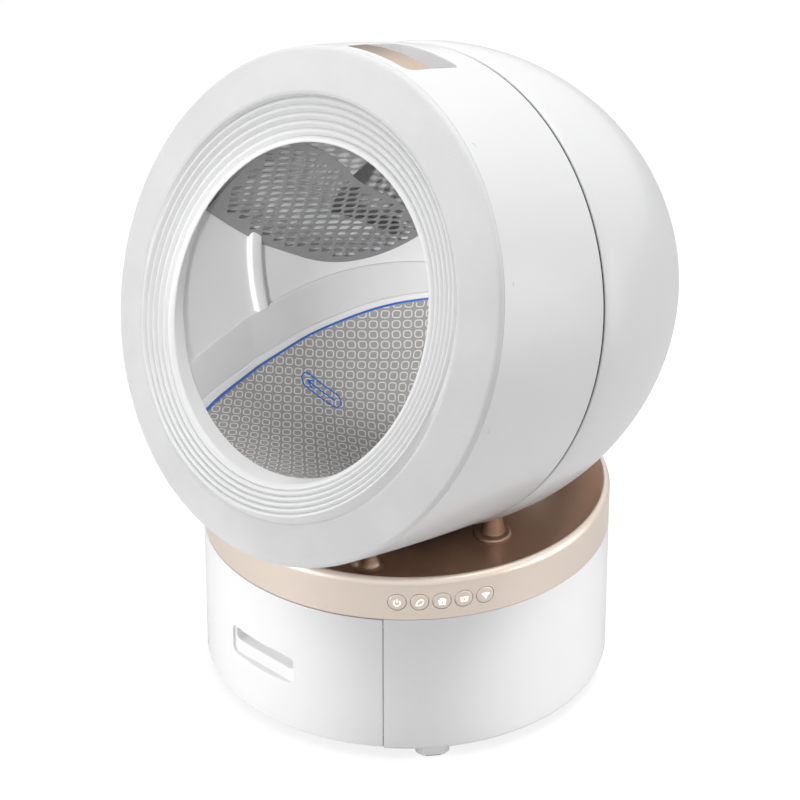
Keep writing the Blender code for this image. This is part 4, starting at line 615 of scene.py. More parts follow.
def makeDrawerFront():
    look, pull = baseLook, pullLook
    outer = look["radius"] + look["draft"] / 2
    thick = 0.0025
    half = math.radians(look["drawerAngle"]) - look["sideGap"] / look["radius"]
    low, high, soft = 0.015, look["seam"] - 0.001, look["edge"]
    columns, rows = 96, 60
    bm = bmesh.new()
    spanU = outer * half - soft

    def onCylinder(radius, u, v):
        return radius * math.sin(u / outer), -radius * math.cos(u / outer), v

    grid, inner = [], []
    for row in range(rows + 1):
        v = low + soft + (high - low - soft * 2) * row / rows
        across = [-spanU + 2 * spanU * column / columns for column in range(columns + 1)]
        for layer, radius in ((grid, outer), (inner, outer - thick)):
            layer.append([bm.verts.new(onCylinder(radius, u, v)) for u in across])
    stepU, stepV = 2 * spanU / columns, (high - low - soft * 2) / rows
    around = 0.008
    columnLow = int((spanU - pull["half"] - around) / stepU)
    columnHigh = columns - columnLow
    rowLow = int((pull["low"] - low - around) / stepV)
    rowHigh = int((pull["high"] - low + around) / stepV) + 1

    def inWindow(row, column):
        return rowLow <= row < rowHigh and columnLow <= column < columnHigh

    for layer in (grid, inner):
        joinRings(bm, layer, around=False, closed=False, skip=inWindow)
    rim = windowBorder(grid, 0, rows, 0, columns)
    places = []
    for vert in rim:
        u, v = math.atan2(vert.co.x, -vert.co.y) * outer, vert.co.z
        sideways = math.copysign(1, u) if abs(abs(u) - spanU) < 1e-6 else 0
        up = 1 if v > high - soft - 1e-6 else -1 if v < low + soft + 1e-6 else 0
        places.append((u, v, sideways, up))

    def edgeLevel(grown, radius):
        return lambda u, v, sideways, up: onCylinder(radius, u + grown * sideways, v + grown * up)

    levels = [edgeLevel(soft * sine, outer - soft * (1 - cosine)) for sine, cosine in quarterRound(5, 1)]
    back = nestLoops(bm, rim, places, levels + [edgeLevel(soft, outer - thick)], cap=False)
    joinRings(bm, [back, windowBorder(inner, 0, rows, 0, columns)], closed=False)

    box = (-pull["half"], pull["half"], pull["low"], pull["high"])
    shelf = pull["low"] + (pull["high"] - pull["low"]) * (1 - pull["shelf"])
    deepBox = (-pull["half"] + 0.0030, pull["half"] - 0.0016, shelf, pull["high"] - 0.0016)
    corner, edge, wall = pull["corner"], pull["edge"], pull["wall"]
    floorY, deepY = pull["step"] - outer, pull["depth"] - outer

    def skinAt(radius):
        return lambda x, z, sink=0.0: (x, -math.sqrt(radius * radius - x * x) + sink, z)

    skin, tub = skinAt(outer), skinAt(outer - thick)

    def wallLevel(sine, cosine):
        # down the mouth's wall to its shelf
        def level(u, v):
            x, z = ontoRounded(u, v, box, corner, edge * (1 - cosine))
            return x, max(floorY - edge * (1 - sine), skin(x, z, edge)[1] + 0.0002), z
        return level

    levels = mouthLevels(box, corner, edge, skin)
    levels += [wallLevel(*turn) for turn in quarterRound(5)]
    for sine, cosine in quarterRound(4):
        levels.append(flatLevel(deepBox, corner, edge * (sine - 1), floorY + edge * (1 - cosine)))
    for sine, cosine in quarterRound(4):
        levels.append(flatLevel(deepBox, corner, edge * (1 - cosine), deepY - edge * (1 - sine)))
    border = windowBorder(grid, rowLow, rowHigh, columnLow, columnHigh)
    nestLoops(bm, border, flatOf(border), levels)
    border = windowBorder(inner, rowLow, rowHigh, columnLow, columnHigh)
    nestLoops(bm, border, flatOf(border), [
        lambda u, v: tub(*ontoRounded(u, v, box, corner, -wall)), flatLevel(box, corner, -wall, deepY + wall),
    ])
    front = pieceFrom("drawer_panel", bm)
    dress(front, "whiteGloss", "drawer", "white_gloss", "drawer_front", matrix=base, angle=40)


footLook = dict(angles=(52.5, 127.5, 232.5, 307.5), width=0.036, depth=0.030, chamfer=0.007, inset=0.002,
                low=0.0025, high=0.0127, edge=0.0006)


def makeFeet():
    look = footLook
    outer = baseLook["radius"] - look["inset"]
    half, cut = look["width"] / 2, look["chamfer"]
    corners = [
        (half, -(outer - look["depth"]), 0.003), (-half, -(outer - look["depth"]), 0.003),
        (-half, -outer + cut, 0.0015), (-half + cut, -outer, 0.0015), (half - cut, -outer, 0.0015),
        (half, -outer + cut, 0.0015),
    ]
    outline = [tuple(spot) for spot in soften(corners)]
    for number, angle in enumerate(look["angles"], 1):
        turn = base @ Matrix.Rotation(math.radians(angle), 4, "Z")
        foot = plate(f"foot_block_{number}", [outline], look["low"], look["high"], look["edge"], turn)
        dress(foot, "whiteSatin", "housing", "white_matte", f"foot_{number}")


# Deck with its dish, posts and buttons
deckLook = dict(rim=0.2225, rimRadius=0.2132, soft=0.009, dish=0.170, flat=0.1321, wall=0.003)
chuteBox = (0.0553, -0.0243, 0.0703, 0.0075)


def makeDeck():
    look = deckLook
    radius, wall = baseLook["radius"], look["wall"]
    rise = look["rim"] - look["dish"]
    reach = look["rimRadius"] - look["flat"]
    shares = [index / 24 for index in range(25)]
    bowl = [(look["flat"] + reach * share, look["dish"] + rise * share ** 3, 0) for share in shares]
    profile = [(0, look["dish"], 0), *bowl[:-1], (*bowl[-1][:2], 0.004)]
    width = radius - look["rimRadius"] - wall / 6
    for sine, cosine in quarterRound(11, 1):
        profile.append((radius - width * (1 - sine), look["rim"] - look["soft"] * (1 - cosine), 0))
    profile += [
        (radius, baseLook["seam"], 0.0008),
        (radius - wall, baseLook["seam"], 0.0005),
        (radius - wall, look["rim"] - look["soft"], 0.003),
        (look["rimRadius"] + wall / 2, look["rim"] - wall, 0.002),
    ]
    profile += [(across + wall / 2, level - wall, 0) for across, level, _ in reversed(bowl[:-1])]
    profile.append((0, look["dish"] - wall, 0))
    deck = turned("deck_dish", soften(profile, closed=False))
    carve(deck, plate("chuteHole", [roundBox(*chuteBox)], 0.150, 0.190))
    bore = buttonLook["bore"]
    for number in range(5):
        hole = turned("buttonHole", [(0, -0.006), (bore, -0.006), (bore, 0.003), (0, 0.003)], 64)
        hole.data.transform(buttonPlace(number))
        carve(deck, hole)
    # the champagne finish paints shade into the dish under the globe
    dress(deck, "champagne", "housing", "champagne", "deck", matrix=base, angle=38)


def buttonPlace(number):
    angle = math.radians(buttonLook["angle"] + buttonLook["pitch"] * number)
    out = Vector((math.sin(angle), -math.cos(angle), 0))
    turn = out.to_track_quat("Z", "Y").to_matrix().to_4x4()
    turn.translation = out * baseLook["radius"] + Vector((0, 0, buttonLook["level"]))
    return turn


buttonLook = dict(radius=0.0095, crown=0.0016, line=0.00036, thick=0.00025, bore=0.0099, board=0.2105,
                  angle=42.35, pitch=6.02, level=0.196)
buttonBodies = ("power", "clean", "empty", "level", "wireless")


def circlePoints(radius, first=0, last=360, center=(0, 0), steps=24):
    angles = [math.radians(first + (last - first) * index / steps) for index in range(steps + 1)]
    return [(center[0] + radius * math.sin(a), center[1] + radius * math.cos(a)) for a in angles]


# Plain signs as pen strokes in millimetres, seen from the front
signStrokes = {
    "power": [circlePoints(3.4, 38, 322), [(0, 0.9), (0, 4.4)]],
    "clean": [
        [(-3.8, -3.0), (-3.2, -0.8), (-1.2, 2.2), (1.6, 3.8), (3.8, 3.0), (4.0, 0.6), (2.4, -1.8),
         (-0.4, -3.2), (-3.8, -3.0)],
    ],
    "empty": [
        [(-4.0, 1.6), (4.0, 1.6)], [(-3.4, 1.6), (-3.0, -3.2), (3.0, -3.2), (3.4, 1.6)],
        [(-2.0, 3.2), (2.2, 3.2)], [(-1.3, 0.4), (-1.2, -2.0)], [(1.3, 0.4), (1.2, -2.0)],
    ],
    "level": [
        [(-4.0, 2.2), (4.0, 2.2), (3.2, -2.4), (-3.2, -2.4), (-4.0, 2.2)],
        circlePoints(0.45, center=(-1.5, 0)), circlePoints(0.45, center=(1.5, 0)),
    ],
    "wireless": [
        circlePoints(6.0, -42, 42, (0, -3.0)), circlePoints(4.1, -42, 42, (0, -3.0)),
        circlePoints(2.2, -42, 42, (0, -3.0)), circlePoints(0.4, center=(0, -2.8)),
    ],
}


def addStroke(bm, points, half, low, high):
    # a flat ribbon along the points, with walls
    points = [Vector(point) / 1000 for point in points]
    loop = (points[0] - points[-1]).length < 1e-7
    if loop:
        points = points[:-1]
    rows = []
    count = len(points)
    for index, point in enumerate(points):
        before = points[index - 1] if loop or index else point
        after = points[(index + 1) % count] if loop or index < count - 1 else point
        way = (after - before).normalized()
        side = Vector((-way.y, way.x)) * half
        left, right = point + side, point - side
        rows.append([bm.verts.new((*spot, level)) for spot, level in
                     ((left, low), (left, high), (right, high), (right, low))])
    joinRings(bm, rows, closed=loop)
    if not loop:
        bm.faces.new(rows[0])
        bm.faces.new(rows[-1])


def makeButtons():
    look = buttonLook
    radius, crown = look["radius"], look["crown"]
    inner = baseLook["radius"] - look["board"] - 0.001 - 0.0003
    flange = -deckLook["wall"] - 0.0012
    profile = soften([
        (0, crown, 0), (radius * 0.62, crown * 0.82, 0.003), (radius * 0.97, crown * 0.30, 0.0012),
        (radius, -0.0008, 0.0005), (radius, flange, 0), (radius + 0.0012, flange, 0.0002),
        (radius + 0.0012, flange - 0.0008, 0.0002), (0.003, flange - 0.0008, 0.0002), (0.003, -inner, 0.0002),
        (0, -inner, 0),
    ], closed=False)
    for number, name in enumerate(buttonBodies):
        place = base @ buttonPlace(number)
        cap = turned(f"button_cap_{name}", profile, 72)
        dress(cap, "champagne", f"{name}_key", "champagne", f"button_{name}", matrix=place)
        bm = bmesh.new()
        for stroke in signStrokes[name]:
            addStroke(bm, stroke, look["line"], crown * 0.75, crown + look["thick"] * 0.4)
        sign = pieceFrom(f"button_sign_{name}", bm)
        dress(sign, "signGlow", f"{name}_key", "white_gloss", matrix=place)


domeLook = dict(radius=0.2574, start=0.0106, length=0.2941, power=1.9, bossRing=0.107, boss=0.006,
                bossLow=-0.2825, bossHigh=-0.2298)


def squareRound(radius, start, length, power, count):
    # (radius, reach) from the widest place of a rounded end to its pole
    points = []
    for index in range(count + 1):
        angle = math.pi / 2 * index / count
        share = abs(math.cos(angle)) ** (2 / power) if index < count else 0.0
        points.append((radius * share, -start - length * math.sin(angle) ** (2 / power)))
    return points


def domeSkin(offset, count=60):
    look = domeLook
    return squareRound(look["radius"] + offset, look["start"], look["length"] + offset, look["power"], count)


def globeSolid(offset):
    # the dome's and the ring's outer form as one solid, in the base's place
    back = (0.2558 + offset, -0.002, 0.0, 0.0)
    profile = [(r, s, 0.0, 0.0) for r, s in reversed(domeSkin(offset, 40))] + [back]
    for index in range(1, 9):
        share = index / 8
        profile.append(ringSection(share, -offset))
    bm = bmesh.new()
    rings = [ringVerts(bm, spot, 144) for spot in profile]
    joinRings(bm, rings, closed=False)
    bm.faces.new(rings[-1])
    solid = pieceFrom("globeSolid", bm, 0.000001)
    solid.data.transform(base.inverted() @ globe)
    return solid


ringLook = dict(seamGap=0.0025, seamRadius=0.2558, gasketDrop=0.0014, edgeDrop=0.003, edgeLength=0.0035,
                wall=0.003, front=(0.2644, 0.1694, -0.0026, 7.9), bulge=0.0012,
                gripHalf=0.046, gripBack=0.045, gripFront=0.122, gripFloor=0.232, gripCorner=0.010,
                gripEdge=0.0018, floorEdge=0.003)


def ringSection(share, inset=0.0):
    look = ringLook
    back = Vector((look["seamRadius"], look["seamGap"] / 2 + look["edgeLength"], 0.0, 0.0))
    spot = back.lerp(Vector(look["front"]), share)
    spot[0] += look["bulge"] * 4 * share * (1 - share) - inset
    return spot


def ringHeight(x, z, inset=0.0):
    # the middle ring's skin over a place near its top
    def top(share):
        radius, reach, rise, lean = ringSection(share, inset)
        up = math.sqrt(radius * radius - x * x)
        slope = math.radians(lean)
        return rise + up * math.cos(slope), reach - up * math.sin(slope)

    return top(lastHeld(0.0, 1.0, lambda share: top(share)[1] < z, 40))[0]


postLook = dict(sideX=0.095, sideY=0.036, frontX=0.045, frontY=-0.103, foot=0.0135, top=0.0105,
                flange=0.021, flangeHigh=0.0035, bellFoot=0.018, bellTop=0.0085)


def makePosts():
    look = postLook
    low = deckLook["dish"] + 0.0003
    tall = deckLook["rim"] - deckLook["dish"]
    side = soften([
        (0, low + tall, 0), (look["top"], low + tall, 0), (look["top"], low + look["flange"], 0.004),
        (look["foot"], low + look["flangeHigh"] + 0.0006, 0.0012),
        (look["flange"] - 0.0016, low + look["flangeHigh"], 0.0022), (look["flange"], low + 0.0012, 0.001),
        (look["flange"], low, 0), (0, low, 0),
    ], closed=False)
    bell = [(0, low + tall * 1.3), (look["bellTop"], low + tall * 1.3)]
    for index in range(17):
        share = index / 16
        flare = (look["bellFoot"] - look["bellTop"]) * (1 - math.sqrt(1 - share ** 2))
        bell.append((look["bellTop"] + flare, low + tall / 2 * (1 - share)))
    bell.append((0, low))
    skins = [globeSolid(0.0003), globeSolid(0.0033), globeSolid(0.0036)]
    for kind, profile, x, y, top in (
        ("side", side, look["sideX"], look["sideY"], look["top"]),
        ("front", bell, look["frontX"], look["frontY"], look["bellTop"]),
    ):
        for sign, hand in ((1, "right"), (-1, "left")):
            place = Matrix.Translation((sign * x, y, 0))
            post = turned(f"{kind}_column_{hand}", profile, 96)
            post.data.transform(place)
            carve(post, skins[2], keep=True)
            # the posts get the champagne with painted shade
            dress(post, "champagneShaded", "housing", "champagne", f"{kind}_post_{hand}", matrix=base)
            pad = turned(f"{kind}_pad_{hand}", [(0, 0.16), (top, 0.16), (top, 0.26), (0, 0.26)], 64)
            pad.data.transform(place)
            carve(pad, skins[1], "INTERSECT", keep=True)
            carve(pad, skins[0], keep=True)
            dress(pad, "rubber", "housing", "rubber_black", f"{kind}_buffer_{hand}", matrix=base)
    for skin in skins:
        bpy.data.objects.remove(skin, do_unlink=True)


# Fixed globe: dome, seam, middle ring with its grip, front cover and entrance ring

def makeDome():
    look = ringLook
    edge = look["seamRadius"] - look["edgeDrop"]
    seam = -look["seamGap"] / 2
    inner = [(r, s, 0) for r, s in reversed(domeSkin(-look["wall"], 36))]
    outer = [(r, s, 0) for r, s in domeSkin(0.0)]
    profile = soften(inner + [
        (edge - look["wall"], seam - look["edgeLength"], 0.001), (edge - look["wall"], seam, 0.0005),
        (edge, seam, 0.0006), (look["seamRadius"] - 0.0004, seam - look["edgeLength"] * 0.2, 0.0010),
    ] + outer, closed=False)
    dome = turned("dome_shell", profile)
    port = plate("domePort", [roundBox(0.050, 0.022, 0.103, 0.0075)], -0.28, -0.199, matrix=sidePlan)
    carve(dome, port)
    dress(dome, "whiteGloss", "housing", "white_gloss", "rear_dome", matrix=globe)
    outer = look["seamRadius"] - look["gasketDrop"]
    half = look["seamGap"] / 2 - 0.0003
    gasket = turned("seam_ring", soften([
        (outer, half, 0.0004), (outer, -half, 0.0004), (outer - 0.003, -half, 0), (outer - 0.003, half, 0),
    ]), closed=True)
    dress(gasket, "seamGrey", "housing", "rubber_black", "seam_gasket", matrix=globe)


def makeDomeBosses():
    look = domeLook
    low, high = look["bossLow"], look["bossHigh"]
    bm = bmesh.new()
    for index in range(4):
        angle = math.radians(45 + 90 * index)
        x, y = look["bossRing"] * math.sin(angle), look["bossRing"] * math.cos(angle)
        spot = Matrix.Translation((x, y, (low + high) / 2))
        bmesh.ops.create_cone(bm, cap_ends=True, segments=32, radius1=look["boss"], radius2=look["boss"],
                              depth=high - low, matrix=spot)
    bosses = pieceFrom("dome_bosses", bm)
    bosses.data.transform(base.inverted() @ drum)
    room = globeSolid(-0.0015)
    carve(bosses, room, "INTERSECT")
    dress(bosses, "whiteSatin", "housing", "white_gloss", matrix=base)


def makeMiddleRing():
    look = ringLook
    wall = look["wall"]
    edge = look["seamRadius"] - look["edgeDrop"]
    seam = look["seamGap"] / 2
    count = 40
    bm = bmesh.new()
    skin = [ringVerts(bm, ringSection(index / count)) for index in range(count + 1)]
    lining = [ringVerts(bm, ringSection(index / count, wall)) for index in range(count + 1)]
    rowLow, rowHigh, half = 10, 38, 11

    def inWindow(row, column):
        return rowLow <= row < rowHigh and (column < half or column >= roundSteps - half)

    joinRings(bm, skin, closed=False, skip=inWindow)
    joinRings(bm, lining, closed=False, skip=inWindow)
    lead = soften([
        (edge - wall, seam + look["edgeLength"], 0), (edge - wall, seam, 0.0005), (edge, seam, 0.0006),
        (look["seamRadius"] - 0.0004, seam + look["edgeLength"] * 0.2, 0.0010),
        (look["seamRadius"], seam + look["edgeLength"], 0),
    ], closed=False)
    rings = [ringVerts(bm, spot) for spot in lead[:-1]]
    joinRings(bm, [lining[0]] + rings + [skin[0]], closed=False)
    joinRings(bm, [skin[-1], lining[-1]], closed=False)

    box = (-look["gripHalf"], look["gripHalf"], look["gripBack"], look["gripFront"])
    corner, floor, soft = look["gripCorner"], look["gripFloor"], look["floorEdge"]

    def onSkin(x, z, sink):
        return x, ringHeight(x, z) - sink, z

    def onLining(u, v):
        x, z = ontoRounded(u, v, box, corner, -wall)
        return x, ringHeight(x, z, wall), z

    levels = mouthLevels(box, corner, look["gripEdge"], onSkin)
    for sine, cosine in quarterRound(5):
        levels.append(flatLevel(box, corner, soft * (1 - cosine), floor + soft * (1 - sine)))
    border = windowBorder(skin, rowLow, rowHigh, -half, half)
    nestLoops(bm, border, flatOf(border), levels)
    border = windowBorder(lining, rowLow, rowHigh, -half, half)
    nestLoops(bm, border, flatOf(border), [onLining, flatLevel(box, corner, -wall, floor - wall)])
    ring = pieceFrom("ring_shell", bm)
    for side in (1, -1):
        for angle in dimpleLook["angles"]:
            carve(ring, dimpleCutter(side * angle))
    dress(ring, "whiteGloss", "housing", "white_gloss", "middle_ring", matrix=globe, angle=40)


dimpleLook = dict(length=0.0062, width=0.0046, depth=0.0005, share=0.925, angles=(35.6, 67.0, 98.7, 132.0))


def dimpleCutter(angle):
    # a small pill-shaped dent along the ring's edge
    look = dimpleLook
    radius, reach, rise, lean = ringSection(look["share"])
    turn = math.radians(angle)
    slope = math.radians(lean)
    up = radius * math.cos(turn)
    spot = Vector((radius * math.sin(turn), rise + up * math.cos(slope), reach - up * math.sin(slope)))
    out = Vector((math.sin(turn), math.cos(turn), 0))
    way = Vector((math.cos(turn), -math.sin(turn), 0))
    half, side = look["length"] / 2 - look["width"] / 2, look["width"] / 2
    pill = []
    for center, start in ((half, -90), (-half, 90)):
        angles = [math.radians(start + step) for step in range(0, 181, 15)]
        pill += [(center + side * math.cos(a), side * math.sin(a)) for a in angles]
    turnTo = Matrix((way, out.cross(way), out)).transposed().to_4x4()
    turnTo.translation = spot
    return plate("dimple", [pill], -look["depth"], 0.004, matrix=turnTo)


stripLook = dict(half=0.0457, high=0.1217, width=0.034, radius=0.2588, thick=0.003, edge=0.0006)


def makeGripStrip():
    look = stripLook
    outer, inner = look["radius"], look["radius"] - look["thick"]
    reach = math.degrees(math.asin(look["half"] / outer))
    outline = arcPoints(outer, 180 - reach, 180 + reach, 64) + arcPoints(inner, 180 + reach, 180 - reach, 64)
    strip = plate("grip_bar", [outline], look["high"] - look["width"], look["high"], look["edge"])
    room = roundBox(look["half"], -look["high"], -0.045, 0.010, 12)
    carve(strip, plate("stripRoom", [room], 0.0, 0.27, matrix=sidePlan), "INTERSECT")
    # the strip's finish carries painted shade at its left end
    dress(strip, "champagneBrushed", "housing", "champagne", "grip_strip", matrix=globe)


coverLook = dict(step=(0.2189, 0.1860, -0.0030, 8.7), stepDepth=0.006, lip=0.006)


def shifted(section, radius, reach):
    return (section[0] + radius, section[1] + reach, section[2], section[3])


def makeFrontCover():
    wall, gap = ringLook["wall"], 0.0003
    seam = shifted(ringLook["front"], 0, gap)
    step = coverLook["step"]
    corners = [
        (*seam, 0.0004),
        (*shifted(seam, -0.0005, 0.0036), 0.0024),
        (*shifted(seam, -0.003, 0.0057), 0.0022),
        (*shifted(step, wall / 2, 0), 0.002),
        (*shifted(step, 0, -wall / 6), 0.0007),
        (*shifted(step, -wall / 2, -wall / 4), 0.0002),
        (*shifted(step, -wall / 2, -coverLook["stepDepth"]), 0),
        (*shifted(step, wall, -coverLook["stepDepth"] - wall / 3), 0),
        (*shifted(seam, -wall * 2, -wall / 6), 0.001),
        (*shifted(seam, -wall * 2, -coverLook["lip"]), 0),
        (*shifted(seam, -wall - gap * 2, -coverLook["lip"]), 0),
        (*shifted(seam, -wall - gap * 2, 0), 0),
    ]
    cover = lofted("cover_shell", soften(corners))
    dress(cover, "whiteFine", "housing", "white_matte", "front_cover", matrix=globe, angle=38)


entranceLook = dict(ridge=(0.2142, 0.1862, -0.0010, 11.0), lip=(0.1804, 0.1789, -0.0077, 12.3),
                    edge=(0.1734, 0.1782, -0.0081, 11.3), count=5, wave=0.0019, ring=0.0025, depth=0.0065,
                    throat=0.1810, flange=0.007)


def rippleTree():
    # ripples on the faces that carry an "across" share, along one direction
    tree, into, out = pieceTree("rippleRing", {"Ripples": 5.0, "Height": 0.001, "Direction": (0, 0, 1)})
    across = attribute(tree, "across")
    turns = addMath(tree, "MULTIPLY", addMath(tree, "MULTIPLY", across, into["Ripples"]), math.pi)
    crest = addMath(tree, "ABSOLUTE", addMath(tree, "SINE", turns))
    wave = addMath(tree, "SUBTRACT", addMath(tree, "MULTIPLY", crest, 2.0), 1.0)
    inBand = addMath(tree, "GREATER_THAN", across, -0.001)
    height = addMath(tree, "MULTIPLY", addMath(tree, "MULTIPLY", wave, into["Height"]), inBand)
    offset = addNode(tree, "ShaderNodeVectorMath", {0: into["Direction"], "Scale": height}, operation="SCALE")
    moved = addNode(tree, "GeometryNodeSetPosition", {
        "Geometry": into["Geometry"], "Offset": offset.outputs[0],
    })
    real = addNode(tree, "GeometryNodeRealizeInstances", {"Geometry": moved.outputs[0]})
    return endTree(tree, real.outputs[0], into, out)


def grow(obj, tree, values):
    # runs a geometry tree on the piece and keeps the plain mesh
    modifier = obj.modifiers.new("grow", "NODES")
    modifier.node_group = tree
    for item in tree.interface.items_tree:
        if item.in_out == "INPUT" and item.name in values:
            modifier[item.identifier] = values[item.name]
    return evaluated(obj)


def makeEntranceRing():
    look, cover = entranceLook, coverLook["step"]
    wall, gap = ringLook["wall"], 0.0003
    hole = cover[0] - wall / 2 - gap / 5
    under = cover[1] - coverLook["stepDepth"] - wall / 3 - gap * 2
    ridge, lip, edge = (Vector(look[key]) for key in ("ridge", "lip", "edge"))
    lean = math.radians(11.0)
    throatReach = 0.162
    throat = (throatReach * math.cos(lean), throatReach * math.sin(lean) - drumDrop, 11.0)
    flange = under - look["flange"] / 5
    head = soften([
        (hole + look["flange"], flange - look["ring"], *cover[2:], 0.0004),
        (hole + look["flange"], flange, *cover[2:], 0.0004),
        (hole, under, *cover[2:], 0.0006),
        (hole, cover[1] - wall / 4 - gap / 3, *cover[2:], 0.0002),
        (*shifted(ridge, 0, -look["wave"]), 0),
    ], closed=False)[:-1]
    steps = 60
    band = [ridge.lerp(lip, index / steps) for index in range(steps + 1)]
    tail = soften([
        (*shifted(lip, 0, -look["wave"]), 0),
        (*shifted(lip.lerp(edge, 0.30), 0, look["wave"]), 0.0016),
        (*shifted(lip.lerp(edge, 0.80), 0, look["wave"] * 0.6), 0.0016),
        (*shifted(edge, -look["wave"] / 4, -look["ring"] / 2), 0.0012),
        (look["throat"], *throat, 0.0006),
        (look["throat"] + look["ring"], *throat, 0.0004),
        (*shifted(edge, look["ring"] * 2, -look["depth"]), 0.001),
        (*shifted(ridge, look["ring"], -look["depth"]), 0.001),
        (hole + look["flange"], flange - look["ring"], *cover[2:], 0),
    ], closed=False)[1:-1]
    bm = bmesh.new()
    joinRings(bm, [ringVerts(bm, spot) for spot in head + band + tail])
    share = bm.verts.layers.float.new("across")
    bm.verts.ensure_lookup_table()
    for index, vert in enumerate(bm.verts):
        row = index // roundSteps - len(head)
        vert[share] = row / steps if 0 <= row <= steps else -1.0
    ring = pieceFrom("entrance_shell", bm)
    slope = math.radians(12.6)
    grow(ring, rippleTree(), {
        "Ripples": float(look["count"]), "Height": look["wave"],
        "Direction": (0.0, math.sin(slope), math.cos(slope)), "Material": paints["whiteGloss"],
    })
    dress(ring, "whiteGloss", "housing", "white_gloss", "entrance_ring", matrix=globe, angle=38)


# Turning drum and what is fixed in it
drumLook = dict(radius=0.1990, wall=0.0035, mouthRadius=0.1905, mouth=0.1600, cone=0.044, shoulder=0.020,
                tail=0.190, power=2.4, bead=0.0025)


def drumRadius(reach, inset):
    look = drumLook
    radius = look["radius"] - inset
    if reach > look["cone"]:
        share = (reach - look["cone"]) / (look["mouth"] - look["cone"])
        return radius - (look["radius"] - look["mouthRadius"]) * share
    if reach > -look["shoulder"]:
        return radius
    depth = (-look["shoulder"] - reach) / (look["tail"] - inset)
    return radius * (1 - depth ** look["power"]) ** (1 / look["power"]) if depth < 1 else 0.0


def drumSkin(inset, front, count=40):
    look = drumLook
    radius = look["radius"] - inset
    end = squareRound(radius, look["shoulder"], look["tail"] - inset, look["power"], count)
    return [(drumRadius(front, inset), front), (radius, look["cone"]), (radius, 0.012)] + end


def toWall(start, way, inset):
    # where a line from inside the drum meets its inner wall, all in the drum's own place
    def within(reach):
        spot = start + way * reach
        return math.hypot(spot.x, spot.y) < drumRadius(spot.z, inset)

    return start + way * lastHeld(0.0, 0.6, within, 34)


def makeDrumShell():
    look = drumLook
    wall, mouth = look["wall"], look["mouth"]
    inner = [(r, s, 0) for r, s in reversed(drumSkin(wall, mouth))]
    outer = [(r, s, 0) for r, s in drumSkin(0.0, mouth)]
    inner[-1] = (*inner[-1][:2], 0.001)
    edge = outer[0][0] + look["bead"]
    profile = soften(inner + [
        (edge, mouth, 0.0018), (edge, mouth - look["bead"] * 2, 0.0018),
        (outer[0][0], mouth - look["bead"] * 2, 0.001),
    ] + outer[1:], closed=False)
    shell = turned("drum_wall", profile)
    turn = Matrix.Rotation(math.radians(62), 4, "Z") @ sidePlan
    carve(shell, plate("drumPort", [roundBox(0.042, 0.035, 0.135, 0.0075)], 0.10, 0.22, matrix=turn))
    dress(shell, "lightGrey", "drum", "light_grey", "drum_shell", matrix=drum, angle=40)


ribLook = dict(front=-0.0800, width=0.019, low=0.3700, high=0.4640, depth=0.006)


def makeWallRib():
    # the upright bright rib on the drum's left wall
    look = ribLook
    inverse = drum.inverted()
    way = inverse.to_3x3() @ Vector((-1, 0, 0))
    side = [(0.0, -0.0012), (0.0, 0.35), (0.04, 0.7), (0.12, 0.93), (0.25, 1.0), (0.5, 1.03),
            (0.75, 1.0), (0.88, 0.93), (0.96, 0.7), (1.0, 0.35), (1.0, -0.0012)]
    bm = bmesh.new()
    rings = []
    for index in range(25):
        level = look["low"] + (look["high"] - look["low"]) * index / 24
        loop = []
        for across, out in side:
            start = inverse @ Vector((0, look["front"] + look["width"] * across, level))
            spot = toWall(start, way, drumLook["wall"])
            lift = look["depth"] * out if out > 0 else -0.0012
            loop.append(bm.verts.new(spot - way * lift))
        rings.append(loop)
    capped(bm, rings)
    rib = pieceFrom("wall_rib", bm)
    dress(rib, "ribWhite", "drum", "light_grey", matrix=drum)


edgeLevels = (0.3440, 0.3380, 0.3273, 0.3194, 0.3200, 0.3225, 0.3266, 0.3338, 0.3430, 0.3530)


def edgeLift(level, turn):
    # how far the mat's edge lies over its mean height, with less of it further up the bank
    place = min(abs(math.degrees(turn)) / 20, len(edgeLevels) - 1.001)
    low = int(place)
    share = place - low
    before, first = edgeLevels[max(low - 1, 0)], edgeLevels[low]
    last, after = edgeLevels[low + 1], edgeLevels[min(low + 2, len(edgeLevels) - 1)]
    bend = share * (last - before + share * (before * 2 - first * 5 + last * 4 - after
                                             + share * (first * 3 - before - last * 3 + after)))
    amount = min(max((matLook["bankTop"] - level) / (matLook["bankTop"] - matLook["frameTop"]), 0.0), 1.0)
    return (first + bend / 2 - matLook["level"]) * amount


def levelPoint(level, turn, inset):
    # a point of the drum's inner wall at a height, turned from the back towards the left
    inverse = drum.inverted()
    start = inverse @ Vector((0, -0.060, level + edgeLift(level, turn)))
    way = inverse.to_3x3() @ Vector((-math.sin(turn), math.cos(turn), 0))
    return toWall(start, way, inset)


def levelEnd(level, inset, mouth=0.1598):
    first, last = math.radians(60), math.radians(178)
    return lastHeld(first, last, lambda turn: levelPoint(level, turn, inset).z < mouth, 30)


def wallBand(name, corners, columns=160):
    # a strip on the drum's inner wall; its section is a loop of (level, inset, softness)
    section = soften(corners, steps=4)
    ends = [levelEnd(level, inset) for level, inset in section]
    bm = bmesh.new()
    rings = []
    for column in range(columns + 1):
        share = 2 * column / columns - 1
        rings.append([
            bm.verts.new(levelPoint(level, share * end, inset)) for (level, inset), end in zip(section, ends)
        ])
    capped(bm, rings)
    return pieceFrom(name, bm)


matLook = dict(level=0.3250, mat=0.0063, under=0.0038, border=0.0078, bank=0.0068, frameTop=0.3323,
               bankTop=0.3700)


